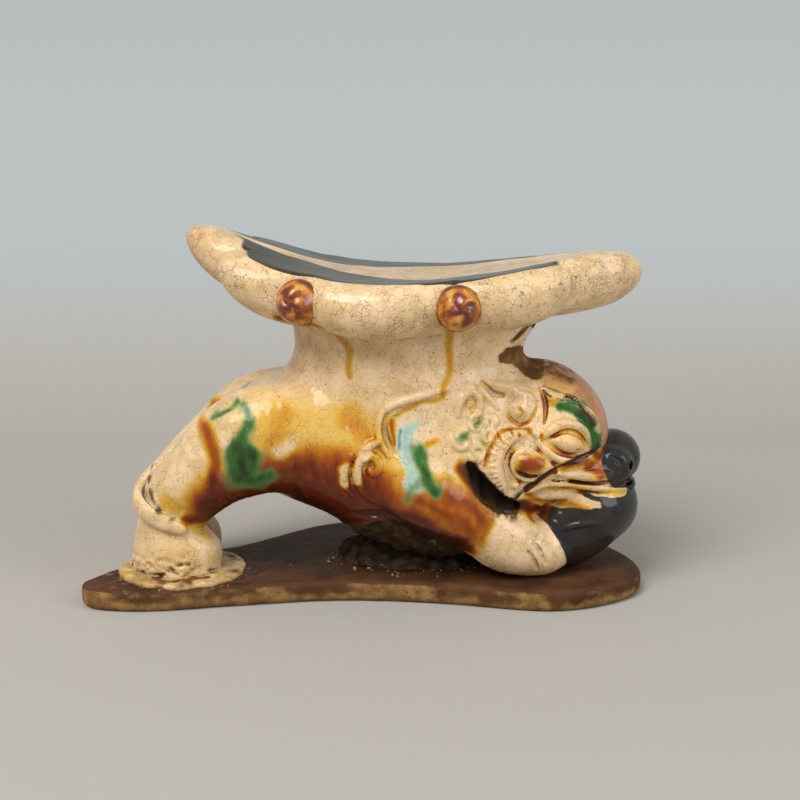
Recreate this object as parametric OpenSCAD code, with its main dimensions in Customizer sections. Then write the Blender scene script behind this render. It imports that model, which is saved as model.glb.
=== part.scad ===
// Glazed earthenware pillow: a crouching lion on a leaf-shaped slab carries a lobed, dished headrest.
// X runs from the lion's rump to its nose, Y across it and Z up. The origin lies on the underside of
// the slab, in the lion's plane of symmetry and half way along the slab.

/* [Slab] */
// Length of the leaf-shaped slab
slab_l = 178; // [164:1:200]
// Thickness of the slab
slab_t = 7; // [5:0.5:12]
// Reach of the slab in front of the lion's plane, at its two front lobes
slab_front = 29.5; // [27:0.5:36]
// Reach of the slab in front of the lion's plane, at its waist
slab_waist = 20; // [16:0.5:24]
// Reach of the slab behind the lion's plane
slab_back = 46; // [34:1:60]
// Radius of the vent hole that lets the steam out of the hollow body
vent_r = 3; // [2:0.25:4]

/* [Body] */
// Width of the body at the shoulders
body_w = 59; // [54:1:66]
// Height of the back above the slab
back_h = 66; // [62:1:72]
// Height of the arch under the belly, above the slab
arch_h = 24.5; // [20:0.5:28]
// Wall of the hollow clay shells
wall = 6; // [4:0.5:8]

/* [Collar and headrest] */
// Height of the collar between the lion's back and the headrest
collar_h = 14; // [10:0.5:24]
// Length of the collar
collar_l = 73; // [66:1:80]
// Width of the collar
collar_w = 50; // [44:1:56]
// Length of the headrest
rest_l = 142.4; // [128:0.2:160]
// Depth of the headrest, front to back
rest_d = 77; // [70:1:88]
// Thickness of the headrest at its middle
rest_t = 15; // [12:0.5:20]
// Rise of the headrest's two ends above its middle
end_rise = 11.5; // [6:0.5:16]
// How much higher the headrest's rump end lies than its head end
end_lean = 6.8; // [0:0.2:10]
// Depth of the notches between the lobes of the rim
lobe_depth = 3.2; // [1.5:0.1:5]
// Diameter of the round bosses in the notches
boss_d = 13.6; // [10:0.2:16]
// How far the bosses stand out of the rim
boss_proud = 4.4; // [3:0.2:6]

/* [Hind legs] */
// Distance of the hind feet from the middle of the slab
hind_x = 60.5; // [57:0.5:64]
// Distance of each hind foot from the lion's plane
hind_y = 9.5; // [8.5:0.5:12]
// How much further back the far hind foot stands than the near one
hind_stagger = 3; // [0:0.5:6]
// Length of a hind foot where it stands
foot_l = 28.8; // [24:0.2:32]
// Thickness of the clay pad under the hind feet
pad_t = 1.5; // [1:0.25:3]
// Width of the tail
tail_w = 7; // [5:0.5:9]

/* [Forelegs] */
// Distance of each forepaw from the lion's plane
paw_y = 13.5; // [12:0.5:16]
// Length of a forepaw
paw_l = 27; // [22:0.5:30]
// Width of a forepaw
paw_w = 21; // [18:0.5:24]

/* [Head] */
// Radius of the skull, seen from the side
skull_r = 24.5; // [22:0.5:27]
// Half width of the skull, across the cheeks
cheek_r = 24; // [21:0.5:27]
// Distance of the skull's centre from the middle of the slab
head_x = 54; // [50:0.5:58]
// Height of the skull's centre above the slab
head_h = 43; // [40:0.5:48]
// Radius of the rounded lower jaw, seen from above
jaw_r = 17.5; // [15:0.5:20]
// Radius of the nose
nose_r = 9; // [7:0.25:11]
// Radius of the rolls of clay that make the lips, lids and curls
roll_r = 1.9; // [1.4:0.1:2.6]

/* [Hidden] */
// Sides of a loft's ring, and steps from one section of a loft to the next
SIDES = 20;
STEPS = 3;
// Sides and steps of a thin roll of clay
ROLL_SIDES = 6;
ROLL_STEPS = 3;
// Side of a block that is larger than the whole object
BLOCK = 400;

rest_x = 15.7;
collar_x = 15;
rest_under = back_h + collar_h;
far_x = hind_x + hind_stagger;
jaw_x = head_x + 17.5;
// The mouth lies below the skull's centre, and the lower jaw fills the height under it
mouth_h = head_h - 8;
jaw_half = mouth_h / 2;
nose_at = [head_x + 26, 0, head_h - 8.5];
// The upper ends of the forelegs and of the hind legs lie this far from the lion's plane, under the flanks
shoulder_y = body_w / 2 - 7.5;
haunch_y = body_w / 2 - 14.5;
// Angles of the notches round the headrest's oval, on one side, from the head end to the rump end
NOTCHES = [44, 78.6, 122.3, 147];
BOSS_NOTCHES = [NOTCHES[1], NOTCHES[2]];
ALL_NOTCHES = concat([for (i = [3:-1:0]) -NOTCHES[i]], NOTCHES);

// Cross-sections of the body: place along X, underside, back, half width
BODY_SECTIONS = [
    [-41, arch_h + 17, back_h - 18, 5],
    [-36, arch_h + 8, back_h - 8, 16],
    [-24, arch_h, back_h - 4, body_w / 2 - 4.5],
    [-6, arch_h - 8.5, back_h - 2, body_w / 2 - 1],
    [14, 4, back_h, body_w / 2],
    [32, -2, back_h, body_w / 2 - 1.5],
    [44, 4.2, back_h - 5, body_w / 2 - 11],
    [51, 18, back_h - 20, body_w / 2 - 20]
];

CREAM = "#e3c79a";
AMBER = "#a85a18";
GREEN = "#2f7340";
BLACK = "#33333a";
BROWN = "#5e4026";

// Point at the share t between p1 and p2 on a smooth curve through four points
function curve_point(p0, p1, p2, p3, t) =
    0.5 * (2 * p1 + (p2 - p0) * t + (2 * p0 - 5 * p1 + 4 * p2 - p3) * t * t
        + (3 * p1 - p0 - 3 * p2 + p3) * t * t * t);

// Smooth open curve through a list of points or sections
function smooth(p, steps) = let (last = len(p) - 1) concat(
    [for (i = [0:last - 1], k = [0:steps - 1])
        curve_point(p[max(i - 1, 0)], p[i], p[i + 1], p[min(i + 2, last)], k / steps)],
    [p[last]]);

// Smooth closed curve through a list of points
function smooth_loop(p, steps) = let (n = len(p))
    [for (i = [0:n - 1], k = [0:steps - 1])
        curve_point(p[(i + n - 1) % n], p[i], p[(i + 1) % n], p[(i + 2) % n], k / steps)];

function unit(v) = v / norm(v);
function middle(ring) = [for (k = [0:2]) let (m = [for (p = ring) p[k]]) m * [for (p = ring) 1] / len(ring)];

// Closed skin over rings of equally many points, each ring turning right-handed about the way it travels.
// The two flat ends fan out from their middles, or from the points given in hubs.
module skin(rings, hubs = undef) {
    n = len(rings[0]);
    last = len(rings) - 1;
    middles = is_undef(hubs) ? [middle(rings[0]), middle(rings[last])] : hubs;
    points = concat([for (r = rings, p = r) p], middles);
    foot = n * (last + 1);
    sides = [for (i = [0:last - 1], j = [0:n - 1]) let (k = (j + 1) % n)
        each [[i * n + j, (i + 1) * n + j, (i + 1) * n + k], [i * n + j, (i + 1) * n + k, i * n + k]]];
    ends = [for (j = [0:n - 1]) let (k = (j + 1) % n)
        each [[foot, j, k], [foot + 1, last * n + k, last * n + j]]];
    polyhedron(points, concat(sides, ends), convexity = 6);
}

// Oval ring about the point c, square to the travel d: half size up in the plane of d and Z, and sideways
function oval_ring(c, d, up, side, n) =
    let (t = unit(d), up_way = abs(t.z) > 0.99 ? [-1, 0, 0] : [0, 0, 1],
        across = unit(cross(up_way, t)), high = cross(t, across))
    [for (j = [0:n - 1]) let (a = 360 * j / n) c + up * cos(a) * high + side * sin(a) * -across];

// Limb of oval sections through stations of x, y, z, half size up and half size sideways
module limb(stations, sides = SIDES, steps = STEPS) {
    s = smooth(stations, steps);
    last = len(s) - 1;
    place = function(i) [s[i][0], s[i][1], s[i][2]];
    skin([for (i = [0:last])
        oval_ring(place(i), place(min(i + 1, last)) - place(max(i - 1, 0)), s[i][3], s[i][4], sides)]);
}

// Roll of clay along a path, with tapered ends
module roll(path, r = roll_r, steps = ROLL_STEPS) {
    p = smooth(path, steps);
    last = len(p) - 1;
    taper = function(i) r * min(1, 0.45 + 0.3 * min(i, last - i));
    skin([for (i = [0:last])
        oval_ring(p[i], p[min(i + 1, last)] - p[max(i - 1, 0)], taper(i), taper(i), ROLL_SIDES)]);
}

// Ball with three half sizes
module ball(c, r, sides = SIDES) {
    rings = sides / 2;
    skin([for (i = [1:rings - 1]) let (a = 180 * i / rings)
        [for (j = [0:sides - 1]) let (b = 360 * j / sides)
            c + [r.x * sin(a) * cos(b), r.y * sin(a) * sin(b), -r.z * cos(a)]]]);
}

// Clay with its neighbours' room cut out of it, as one mesh
module cut_back() {
    resize([0, 0, 0]) difference() {
        children(0);
        children([1:$children - 1]);
    }
}

module above_slab() {
    resize([0, 0, 0]) intersection() {
        children();
        translate([-BLOCK / 2, -BLOCK / 2, 0]) cube(BLOCK);
    }
}

module near_side() {
    translate([-BLOCK / 2, -BLOCK, -BLOCK / 2]) cube(BLOCK);
}

// Whole forms, before their neighbours are cut out of them. Heights are above the slab.

// Outline of the slab: a narrow lobe under the hind feet, a waist in front and a full lobe behind
function slab_outline() = let (e = slab_l / 2) smooth_loop([
    [-e, -0.64 * slab_front], [-0.94 * e, -0.93 * slab_front], [-66, -slab_front],
    [-40, -(slab_front + slab_waist) / 2], [-8, -slab_waist], [24, 2 - (slab_front + slab_waist) / 2],
    [58, -slab_front], [0.9 * e, -0.72 * slab_front], [e, -8], [0.95 * e, 12],
    [68, 0.72 * slab_back], [36, 0.97 * slab_back], [4, slab_back], [-17, 0.88 * slab_back],
    [-33, 0.58 * slab_back], [-far_x + foot_l / 2, hind_y + 3.5], [-far_x + 6, 2 * hind_y - 0.5],
    [-far_x - 4, 2 * hind_y], [-far_x - foot_l / 2, hind_y + 2], [-far_x - foot_l / 2 + 1, -1.5],
    [-0.94 * e, -10]], STEPS);

// The slab's outline, moved inwards
function slab_inset(d) = let (o = slab_outline(), n = len(o)) [for (i = [0:n - 1])
    let (t = unit(o[(i + 1) % n] - o[(i + n - 1) % n])) o[i] + d * [-t.y, t.x]];

// Inset and share of the height of each ring of the slab's rounded edge
SLAB_EDGE = [[1.6, 0], [0.5, 0.14], [0, 0.42], [0.3, 0.74], [1, 0.92], [2.4, 1]];

// Place from which the whole outline is in sight
SLAB_HUB = [-40, -8];

module slab_form() {
    skin([for (s = SLAB_EDGE) [for (p = slab_inset(s[0])) [p.x, p.y, s[1] * slab_t]]],
        [for (z = [0, slab_t]) [SLAB_HUB.x, SLAB_HUB.y, z]]);
}

// Body sections by lookup along X: middle height, half height, half width
BODY_FINE = smooth(BODY_SECTIONS, STEPS);
function body_at(x) = let (
    low = lookup(x, [for (s = BODY_FINE) [s[0], s[1]]]),
    high = lookup(x, [for (s = BODY_FINE) [s[0], s[2]]]),
    half = lookup(x, [for (s = BODY_FINE) [s[0], s[3]]])) [(low + high) / 2, (high - low) / 2, half];

// Points on the near side of the body and of the skull, seen from the side
function on_body(x, z) = let (b = body_at(x), s = (z - b[0]) / b[1]) [x, -b[2] * sqrt(max(0, 1 - s * s)), z];
function on_skull(a, b) =
    [head_x + a * skull_r, -cheek_r * sqrt(max(0, 1 - a * a - b * b)), head_h + b * skull_r];

module body_form(inset = 0) {
    shrink = 1 - inset / 100;
    skin([for (s = BODY_FINE)
        let (wide = max(s[3] - inset, 1), high = max((s[2] - s[1]) / 2 - inset, 1), mid = (s[1] + s[2]) / 2)
        [for (j = [0:SIDES - 1]) let (a = 360 * j / SIDES)
            [s[0] * shrink, wide * cos(a), mid + high * sin(a)]]]);
}

// Rings of the collar: height above the back, growth of the half length and growth of the half width
COLLAR_RINGS = [[-20, -7, -3], [-10, -1, 0.5], [-2, 1.2, 0.8], [5, 0, 0], [collar_h - 3, 1.5, 1.5],
    [collar_h + 4, 5, 5], [collar_h + 8, 7, 7]];

module collar_form(inset = 0) {
    skin([for (s = smooth(COLLAR_RINGS, 2))
        let (long = collar_l / 2 + s[1] - inset, wide = collar_w / 2 + s[2] - inset)
        [for (j = [0:SIDES - 1]) let (a = 360 * j / SIDES)
            [collar_x + long * cos(a), wide * sin(a), back_h + s[0]]]]);
}

// Share of a lobe that has been passed at an angle round the headrest, from notch to notch
function lobe_share(a) = let (
    n = len(ALL_NOTCHES), b = a < ALL_NOTCHES[0] ? a + 360 : a,
    i = max([for (k = [0:n - 1]) if (ALL_NOTCHES[k] <= b) k]),
    next = i == n - 1 ? ALL_NOTCHES[0] + 360 : ALL_NOTCHES[i + 1])
    (b - ALL_NOTCHES[i]) / (next - ALL_NOTCHES[i]);

// Point of the headrest's outline at an angle, shrunk to the share f of its reach
function rest_point(a, f) = let (
    notch = 2 * lobe_depth / rest_d * (1 - pow(abs(sin(180 * lobe_share(a))), 0.55)) * f * f)
    [rest_x + f * (1 - notch) * rest_l / 2 * cos(a), f * (1 - notch) * rest_d / 2 * sin(a)];

// Top of the headrest and its thickness, along X
function rest_along(x) = 2 * (x - rest_x) / rest_l;
function rest_top(x) = let (u = rest_along(x)) rest_under + rest_t + end_rise * u * u - end_lean / 2 * u;
function rest_thick(x) = let (u = rest_along(x)) rest_t - 0.5 * u * u + 2 * u;

// Reach and height of each ring round the headrest, from the middle of its underside to that of its top
REST_RINGS = [[0.3, 0], [0.55, 0.01], [0.7, 0.05], [0.82, 0.14], [0.91, 0.27], [0.97, 0.43], [1, 0.6],
    [0.99, 0.78], [0.95, 0.92], [0.89, 0.995], [0.82, 1], [0.68, 0.97], [0.4, 0.95]];

module rest_form() {
    skin([for (s = REST_RINGS) [for (a = [-180:5:175]) let (p = rest_point(a, s[0]))
        [p.x, p.y, rest_top(p.x) - (1 - s[1]) * rest_thick(p.x)]]]);
}

// Depth of a boss's middle below the top of the rim, as a share of the rim's thickness
BOSS_SEAT = 0.43;
BOSS_SIDES = 14;

module boss_form(a) {
    c = rest_point(a, 1);
    translate([c.x, c.y, rest_top(c.x) - BOSS_SEAT * rest_thick(c.x)])
        rotate([0, 0, atan2(sin(a) / rest_d, cos(a) / rest_l)])
            ball([0, 0, 0], [boss_proud, boss_d / 2, boss_d / 2], BOSS_SIDES);
}

module hind_leg_form(x) {
    limb([[-14, -haunch_y, 50, 9, 9], [-24, -haunch_y, 47, 15, 12], [-35, 0.5 - haunch_y, 43.5, 16.5, 13],
        [-0.77 * x, -hind_y - 3, 36, 13.6, 11.8], [-0.94 * x, -hind_y - 0.5, 25.5, 12, 10.4],
        [-x - 0.8, -hind_y, 17, 11.2, 9.8], [-x - 0.8, -hind_y, 12, 10.4, 9]]);
}

// Sections of a hind foot: height, and how much shorter and narrower it is there than on the ground
FOOT_SECTIONS = [[20, 4, 1.2], [14.5, 3, 0.6], [9.5, 1.6, 0.2], [5, 0, 0], [0, 0.6, 0.4]];

module hind_foot_form(x) {
    skin([for (s = smooth(FOOT_SECTIONS, STEPS)) [for (j = [0:SIDES - 1]) let (a = -360 * j / SIDES)
        [-x + (foot_l / 2 - s[1]) * cos(a), -hind_y + (hind_y + 0.6 - s[2]) * sin(a), s[0]]]]);
}

module pad_form() {
    skin([for (s = [[0, 1], [0.6 * pad_t, 1], [pad_t, 0.94]])
        let (long = 0.71 * foot_l * s[1], wide = 2 * hind_y * s[1])
        [for (j = [0:SIDES - 1]) let (a = 360 * j / SIDES)
            [-hind_x + 1.5 + long * cos(a), 0.5 - hind_y + wide * sin(a), s[0]]]]);
}

module tail_form() {
    flat = tail_w / 2;
    limb([[-30, -1.5, 60, 2, flat - 1], [-43, -2, 54.5, 2.6, flat - 0.6], [-54, -3, 46.5, 2.8, flat],
        [-65.5, -4.5, 36, 2.8, flat], [-73, -7, 27.5, 2.8, flat], [-75, -14, 22.5, flat, 2.6],
        [-67, -21, 20, flat, 2.4], [-55.5, -21.5, 18.5, flat - 0.6, 2]], 12);
}

module foreleg_form() {
    limb([[5, 3 - shoulder_y, 39, 6, 7], [12, -shoulder_y, 33.5, 11, 10.5], [22, -shoulder_y, 28, 11.5, 10.5],
        [34, -paw_y - 5, 20.5, 9.2, 9.6], [41, -paw_y - 2, 16, 8.4, 9]]);
}

module forepaw_form() {
    half = paw_w / 2;
    wrist = 34;
    limb([[wrist, -paw_y - 4, 20, 7, half - 4], [wrist + 3, -paw_y - 3, 17.5, 9.6, half - 0.8],
        [wrist + 12, -paw_y - 1.5, 12, 11, half], [wrist + 0.8 * paw_l, -paw_y, 7.5, 8, half - 2],
        [wrist + 0.97 * paw_l, -paw_y + 0.5, 5.2, 4.4, half - 5],
        [wrist + paw_l, -paw_y + 0.5, 4.6, 1.6, half - 8]]);
}

module skull_form(inset = 0) {
    ball([head_x, 0, head_h], [skull_r - inset, cheek_r - inset, skull_r - inset], 28);
}

module jaw_form() {
    ball([jaw_x, 0, jaw_half - 0.4], [jaw_r, jaw_r + 1, jaw_half]);
}

module upper_jaw_form() {
    ball([head_x + 16, 0, head_h - 12], [15, jaw_r, 9]);
}

module nose_form() {
    ball(nose_at, [nose_r, nose_r + 2.5, nose_r], 20);
}

// Face rolls, as places on the skull seen from the side in shares of its radius
module brow_form() {
    arch = [[0.08, 0.42], [0.3, 0.55], [0.52, 0.52], [0.72, 0.36], [0.86, 0.12]];
    roll([for (p = arch) on_skull(p[0], p[1])], 1.6 * roll_r);
}

module forehead_form() {
    limb([for (a = [100, 80, 62, 44, 26, 8])
        [head_x + (skull_r - 1) * cos(a), 0, head_h + (skull_r - 1) * sin(a), 2.2, a == 100 ? 5 : 8.5]], 16);
}

module eye_form() {
    ball(on_skull(0.37, 0.06), [5.4, 2.6, 3.6], 14);
    upper_lid = [[0.1, 0.03], [0.22, 0.21], [0.4, 0.27], [0.6, 0.15], [0.64, -0.01]];
    lower_lid = [[0.12, -0.02], [0.25, -0.14], [0.42, -0.2], [0.57, -0.17]];
    roll([for (p = upper_lid) on_skull(p[0], p[1])], 0.8 * roll_r);
    roll([for (p = lower_lid) on_skull(p[0], p[1])], 0.76 * roll_r);
}

module ear_form() {
    leaf = [[-0.2, -0.13, 2, 2], [-0.08, -0.19, 5.2, 2.8], [0.06, -0.27, 4.4, 2.6], [0.21, -0.37, 1.2, 1.2]];
    limb([for (s = leaf) let (p = on_skull(s[0], s[1])) [p.x, p.y, p.z, s[2], s[3]]], 12);
}

module lip_form() {
    reach = jaw_r + 1.2;
    side = [[-17, 0.1, 0], [-12, 0.72, 3.4], [-4, 0.98, 3.2], [6, 0.9, 1], [12, 0.62, -0.4]];
    lip_h = head_h - 16;
    roll(concat(
        [for (s = side) [jaw_x + s[0], -reach * s[1], lip_h + s[2]]],
        [[jaw_x + jaw_r - 1.4, 0, lip_h - 0.6]],
        [for (i = [4:-1:0]) [jaw_x + side[i][0], reach * side[i][1], lip_h + side[i][2]]]), 1.1 * roll_r);
}

module lower_lip_form() {
    z = mouth_h - 9;
    limb([for (s = [[-13, -0.8, 0, 1.6], [-7, -0.92, 0.6, 2.6], [1, -0.96, -1.4, 2.6], [9, -0.8, -4.4, 1.2]])
        [jaw_x + s[0], s[1] * jaw_r, z + s[2], s[3], 1.6]], 12);
}

// Way out of the near side of the skull and of the body
function skull_out(p) =
    unit([(p.x - head_x) / pow(skull_r, 2), p.y / pow(cheek_r, 2), (p.z - head_h) / pow(skull_r, 2)]);
function body_out(p) = let (b = body_at(p.x)) unit([0, p.y / pow(b[2], 2), (p.z - b[0]) / pow(b[1], 2)]);

// Middle of a thin roll that lies on the outer one of the skull and the body, on the near side
SPRIG_R = 0.65 * roll_r;
SPRIG_GAP = 0.1;
function on_lion(x, z) = let (
    s = on_skull((x - head_x) / skull_r, (z - head_h) / skull_r), b = on_body(x, z))
    s.y < b.y ? s + (SPRIG_R + SPRIG_GAP) * skull_out(s) : b + (SPRIG_R + SPRIG_GAP) * body_out(b);

// Spiral curl of clay on the near side: middle, outer radius, start angle and turn
module curl(x, z, r, start, turn) {
    points = 12;
    tight = 0.75;
    roll([for (i = [0:points]) let (a = start + turn * i / points, q = r * (1 - tight * i / points))
        on_lion(x + q * cos(a), z + q * sin(a))], SPRIG_R, 1);
}

// Plain roll of clay on the near side, through places seen from the side
module sprig(places) {
    roll([for (p = places) on_lion(p[0], p[1])], SPRIG_R);
}

module mane_form() {
    curl(head_x - 6.5, head_h + 9.5, 5.2, 200, -380);
    curl(head_x - 20.5, back_h - 18, 4.8, 60, 380);
    curl(head_x - 22, back_h - 29, 4.4, 100, -380);
    fan = [[-3, 3], [-9, 1], [-13.5, -4], [-14.5, -10], [-12.5, -15]];
    sprig([for (p = fan) [head_x + p[0], head_h + p[1]]]);
}

module scroll_form() {
    sprig([for (p = [[24, -17], [15, -17.5], [7, -20], [2.5, -25.5]]) [p[0], back_h + p[1]]]);
    curl(-3, back_h - 34.5, 5.8, 60, 390);
    sprig([for (p = [[-9.5, -26], [-13, -32], [-13, -38], [-9.5, -43]]) [p[0], back_h + p[1]]]);
}

// Finished pieces, in their places on the slab

module on_slab() {
    translate([0, 0, slab_t]) children();
}

module mirrored() {
    mirror([0, 1, 0]) children();
}

module base_slab() {
    color(BROWN) difference() {
        slab_form();
        translate([30, 0, -1]) cylinder(r = vent_r, h = slab_t + 2, $fn = 48);
    }
}

module body_half() {
    color(CREAM) on_slab() above_slab() difference() {
        intersection() {
            body_form();
            near_side();
        }
        body_form(wall);
        translate([26, 0, -wall]) scale([1, 0.72, 1]) cylinder(r = 20, h = 4 * wall, $fn = 48);
    }
}

module collar() {
    color(CREAM) on_slab() cut_back() {
        collar_form();
        collar_form(wall);
        body_form();
        rest_form();
    }
}

module headrest() {
    color(CREAM) on_slab() rest_form();
}

module rim_boss(a) {
    color(AMBER) on_slab() cut_back() {
        boss_form(a);
        rest_form();
    }
}

module belly_wad() {
    color(BROWN) on_slab() above_slab() difference() {
        ball([8, 0, 0], [24, body_w / 2 - 5, 9]);
        body_form();
        for (m = [0, 1]) mirror([0, m, 0]) foreleg_form();
        translate([26, 0, -wall]) scale([1, 0.72, 1]) cylinder(r = 20, h = 4 * wall, $fn = 48);
    }
}

module hind_foot_pad() {
    color(CREAM) on_slab() resize([0, 0, 0]) intersection() {
        pad_form();
        linear_extrude(height = pad_t) polygon(slab_inset(SLAB_EDGE[5][0]));
    }
}

module hind_leg(x) {
    color(AMBER) on_slab() resize([0, 0, 0]) difference() {
        intersection() {
            hind_leg_form(x);
            near_side();
        }
        body_form();
    }
}

// A foot made on the near side: flip is 1 where it will be mirrored to the far side of the same pad
module hind_foot(x, flip) {
    color(CREAM) on_slab() resize([0, 0, 0]) difference() {
        intersection() {
            hind_foot_form(x);
            near_side();
        }
        hind_leg_form(x);
        mirror([0, flip, 0]) pad_form();
    }
}

module both_hind_legs() {
    for (m = [0, 1]) mirror([0, m, 0]) {
        hind_leg_form(m == 0 ? hind_x : far_x);
        hind_foot_form(m == 0 ? hind_x : far_x);
    }
}

module tail() {
    color(CREAM) on_slab() cut_back() {
        tail_form();
        both_hind_legs();
        body_form();
        collar_form();
    }
}

module foreleg() {
    color(AMBER) on_slab() above_slab() difference() {
        foreleg_form();
        body_form();
        skull_form();
        jaw_form();
    }
}

module forepaw() {
    color(CREAM) on_slab() above_slab() difference() {
        forepaw_form();
        foreleg_form();
        body_form();
        skull_form();
        jaw_form();
    }
}

module skull() {
    color(CREAM) on_slab() cut_back() {
        skull_form();
        skull_form(wall);
        body_form();
        collar_form();
    }
}

module forehead_band() {
    color(AMBER) on_slab() cut_back() {
        forehead_form();
        skull_form();
        collar_form();
        body_form();
        nose_form();
        upper_jaw_form();
    }
}

module lower_jaw() {
    color(BLACK) on_slab() above_slab() difference() {
        jaw_form();
        skull_form();
        body_form();
    }
}

module upper_jaw() {
    color(AMBER) on_slab() cut_back() {
        upper_jaw_form();
        skull_form();
        jaw_form();
    }
}

module nose() {
    color(BLACK) on_slab() cut_back() {
        nose_form();
        upper_jaw_form();
        skull_form();
        jaw_form();
    }
}

module muzzle_forms() {
    skull_form();
    body_form();
    jaw_form();
    upper_jaw_form();
    nose_form();
}

module upper_lip() {
    color(CREAM) on_slab() cut_back() {
        lip_form();
        muzzle_forms();
        for (m = [0, 1]) mirror([0, m, 0]) foreleg_form();
    }
}

module lower_lip() {
    color(CREAM) on_slab() cut_back() {
        lower_lip_form();
        muzzle_forms();
        lip_form();
    }
}

module brow() {
    color(GREEN) on_slab() cut_back() {
        brow_form();
        muzzle_forms();
        forehead_form();
    }
}

module eye() {
    color(CREAM) on_slab() cut_back() {
        eye_form();
        muzzle_forms();
        brow_form();
        lip_form();
    }
}

module ear() {
    color(AMBER) on_slab() cut_back() {
        ear_form();
        muzzle_forms();
        eye_form();
        lip_form();
    }
}

module mane_curls() {
    color(CREAM) on_slab() mane_form();
}

module shoulder_scroll() {
    color(CREAM) on_slab() scroll_form();
}

base_slab();
belly_wad();
body_half();  // body_near_half
mirrored() body_half();  // body_far_half
collar();
headrest();
rim_boss(-BOSS_NOTCHES[1]);  // rim_boss_near_left
rim_boss(-BOSS_NOTCHES[0]);  // rim_boss_near_right
rim_boss(BOSS_NOTCHES[1]);  // rim_boss_far_left
rim_boss(BOSS_NOTCHES[0]);  // rim_boss_far_right
hind_foot_pad();
hind_leg(hind_x);  // hind_leg_near
mirrored() hind_leg(far_x);  // hind_leg_far
hind_foot(hind_x, 0);  // hind_foot_near
mirrored() hind_foot(far_x, 1);  // hind_foot_far
tail();
foreleg();  // foreleg_near
mirrored() foreleg();  // foreleg_far
forepaw();  // forepaw_near
mirrored() forepaw();  // forepaw_far
skull();
forehead_band();
lower_jaw();
upper_jaw();
nose();
upper_lip();
lower_lip();  // lower_lip_near
mirrored() lower_lip();  // lower_lip_far
eye();  // eye_near
mirrored() eye();  // eye_far
brow();  // brow_near
mirrored() brow();  // brow_far
ear();  // ear_near
mirrored() ear();  // ear_far
mane_curls();  // mane_curls_near
mirrored() mane_curls();  // mane_curls_far
shoulder_scroll();  // shoulder_scroll_near
mirrored() shoulder_scroll();  // shoulder_scroll_far
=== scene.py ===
# %% [markdown]
# # A lion headrest in three-colour glaze
# The object is a small pillow of soft-fired earthenware: a crouching lion on a leaf-shaped slab carries
# a lobed, dished headrest. It was built by hand from pressed and rolled clay, and then dressed in lead
# glazes that ran in the kiln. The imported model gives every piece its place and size. This lesson
# gives the pieces their modelled skin and their glaze. Lengths are in millimetres until a mesh is made.

# %% The frame
import math

import bpy
import numpy as np
import openvdb
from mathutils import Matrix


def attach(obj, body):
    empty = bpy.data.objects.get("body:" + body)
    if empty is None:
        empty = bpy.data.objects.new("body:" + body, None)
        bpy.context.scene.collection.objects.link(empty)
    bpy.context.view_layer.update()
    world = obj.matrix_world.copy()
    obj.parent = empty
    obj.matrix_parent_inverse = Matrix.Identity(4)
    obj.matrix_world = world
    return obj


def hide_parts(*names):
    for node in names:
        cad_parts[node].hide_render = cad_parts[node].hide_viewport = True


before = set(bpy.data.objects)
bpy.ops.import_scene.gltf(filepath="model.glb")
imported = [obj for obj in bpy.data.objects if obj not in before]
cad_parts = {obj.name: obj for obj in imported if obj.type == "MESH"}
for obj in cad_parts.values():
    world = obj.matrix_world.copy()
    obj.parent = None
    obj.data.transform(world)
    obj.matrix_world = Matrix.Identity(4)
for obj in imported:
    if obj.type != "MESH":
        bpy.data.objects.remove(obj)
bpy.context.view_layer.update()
MM = 0.001


def shown(thing):
    """Links a new object to the scene and hands it back."""
    bpy.context.scene.collection.objects.link(thing)
    return thing


# %% [markdown]
# ## Camera and light
# The view is nearly square to the lion's side and a little from above, with a normal lens. One large
# soft lamp stands high at the front left, as a window would, and a pale room fills the shadows. Point
# lamps would be simpler, but glaze mirrors its lamp, and a window leaves broad soft highlights on it.

# %% Camera
VIEW_FROM = (11.2, -392, 142)
VIEW_DOWN = 11.7
LENS = 56.16

camera = shown(bpy.data.objects.new("camera", bpy.data.cameras.new("camera")))
camera.data.lens = LENS
camera.location = [c * MM for c in VIEW_FROM]
camera.rotation_euler = (math.radians(90 - VIEW_DOWN), 0, 0)
bpy.context.scene.camera = camera
bpy.context.scene.view_settings.view_transform = "Standard"
print("camera:", LENS, "mm lens,", VIEW_DOWN, "degrees down")

# %% Lamps and room
LION_MIDDLE = (10, 0, 50)
LAMPS = {
    "window": {"place": (-440, -640, 1040), "size": (600, 760), "watts": 14.2, "colour": (1.0, 0.985, 0.96)},
    "side_fill": {"place": (900, -520, 480), "size": (600, 600), "watts": 5.0, "colour": (0.95, 0.97, 1.0)},
}
ROOM_COLOUR, ROOM_STRENGTH = (0.93, 0.96, 1.0, 1), 0.50


def soft_lamp(name, place, size, watts, colour):
    """Adds a rectangular lamp that faces the lion."""
    lamp = bpy.data.lights.new(name, "AREA")
    lamp.shape = "RECTANGLE"
    lamp.size, lamp.size_y = (s * MM for s in size)
    lamp.energy = watts
    lamp.color = colour
    holder = shown(bpy.data.objects.new(name, lamp))
    holder.location = [c * MM for c in place]
    way = np.array(LION_MIDDLE, float) - np.array(place, float)
    flat = math.hypot(way[0], way[1])
    holder.rotation_euler = (math.atan2(flat, -way[2]), 0, math.atan2(way[1], way[0]) - math.pi / 2)


for name, settings in LAMPS.items():
    soft_lamp(name, **settings)
world = bpy.data.worlds.new("room")
world.use_nodes = True
room = world.node_tree.nodes["Background"]
room.inputs["Color"].default_value = ROOM_COLOUR
room.inputs["Strength"].default_value = ROOM_STRENGTH
bpy.context.scene.world = world
print("lamps:", list(LAMPS))

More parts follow.
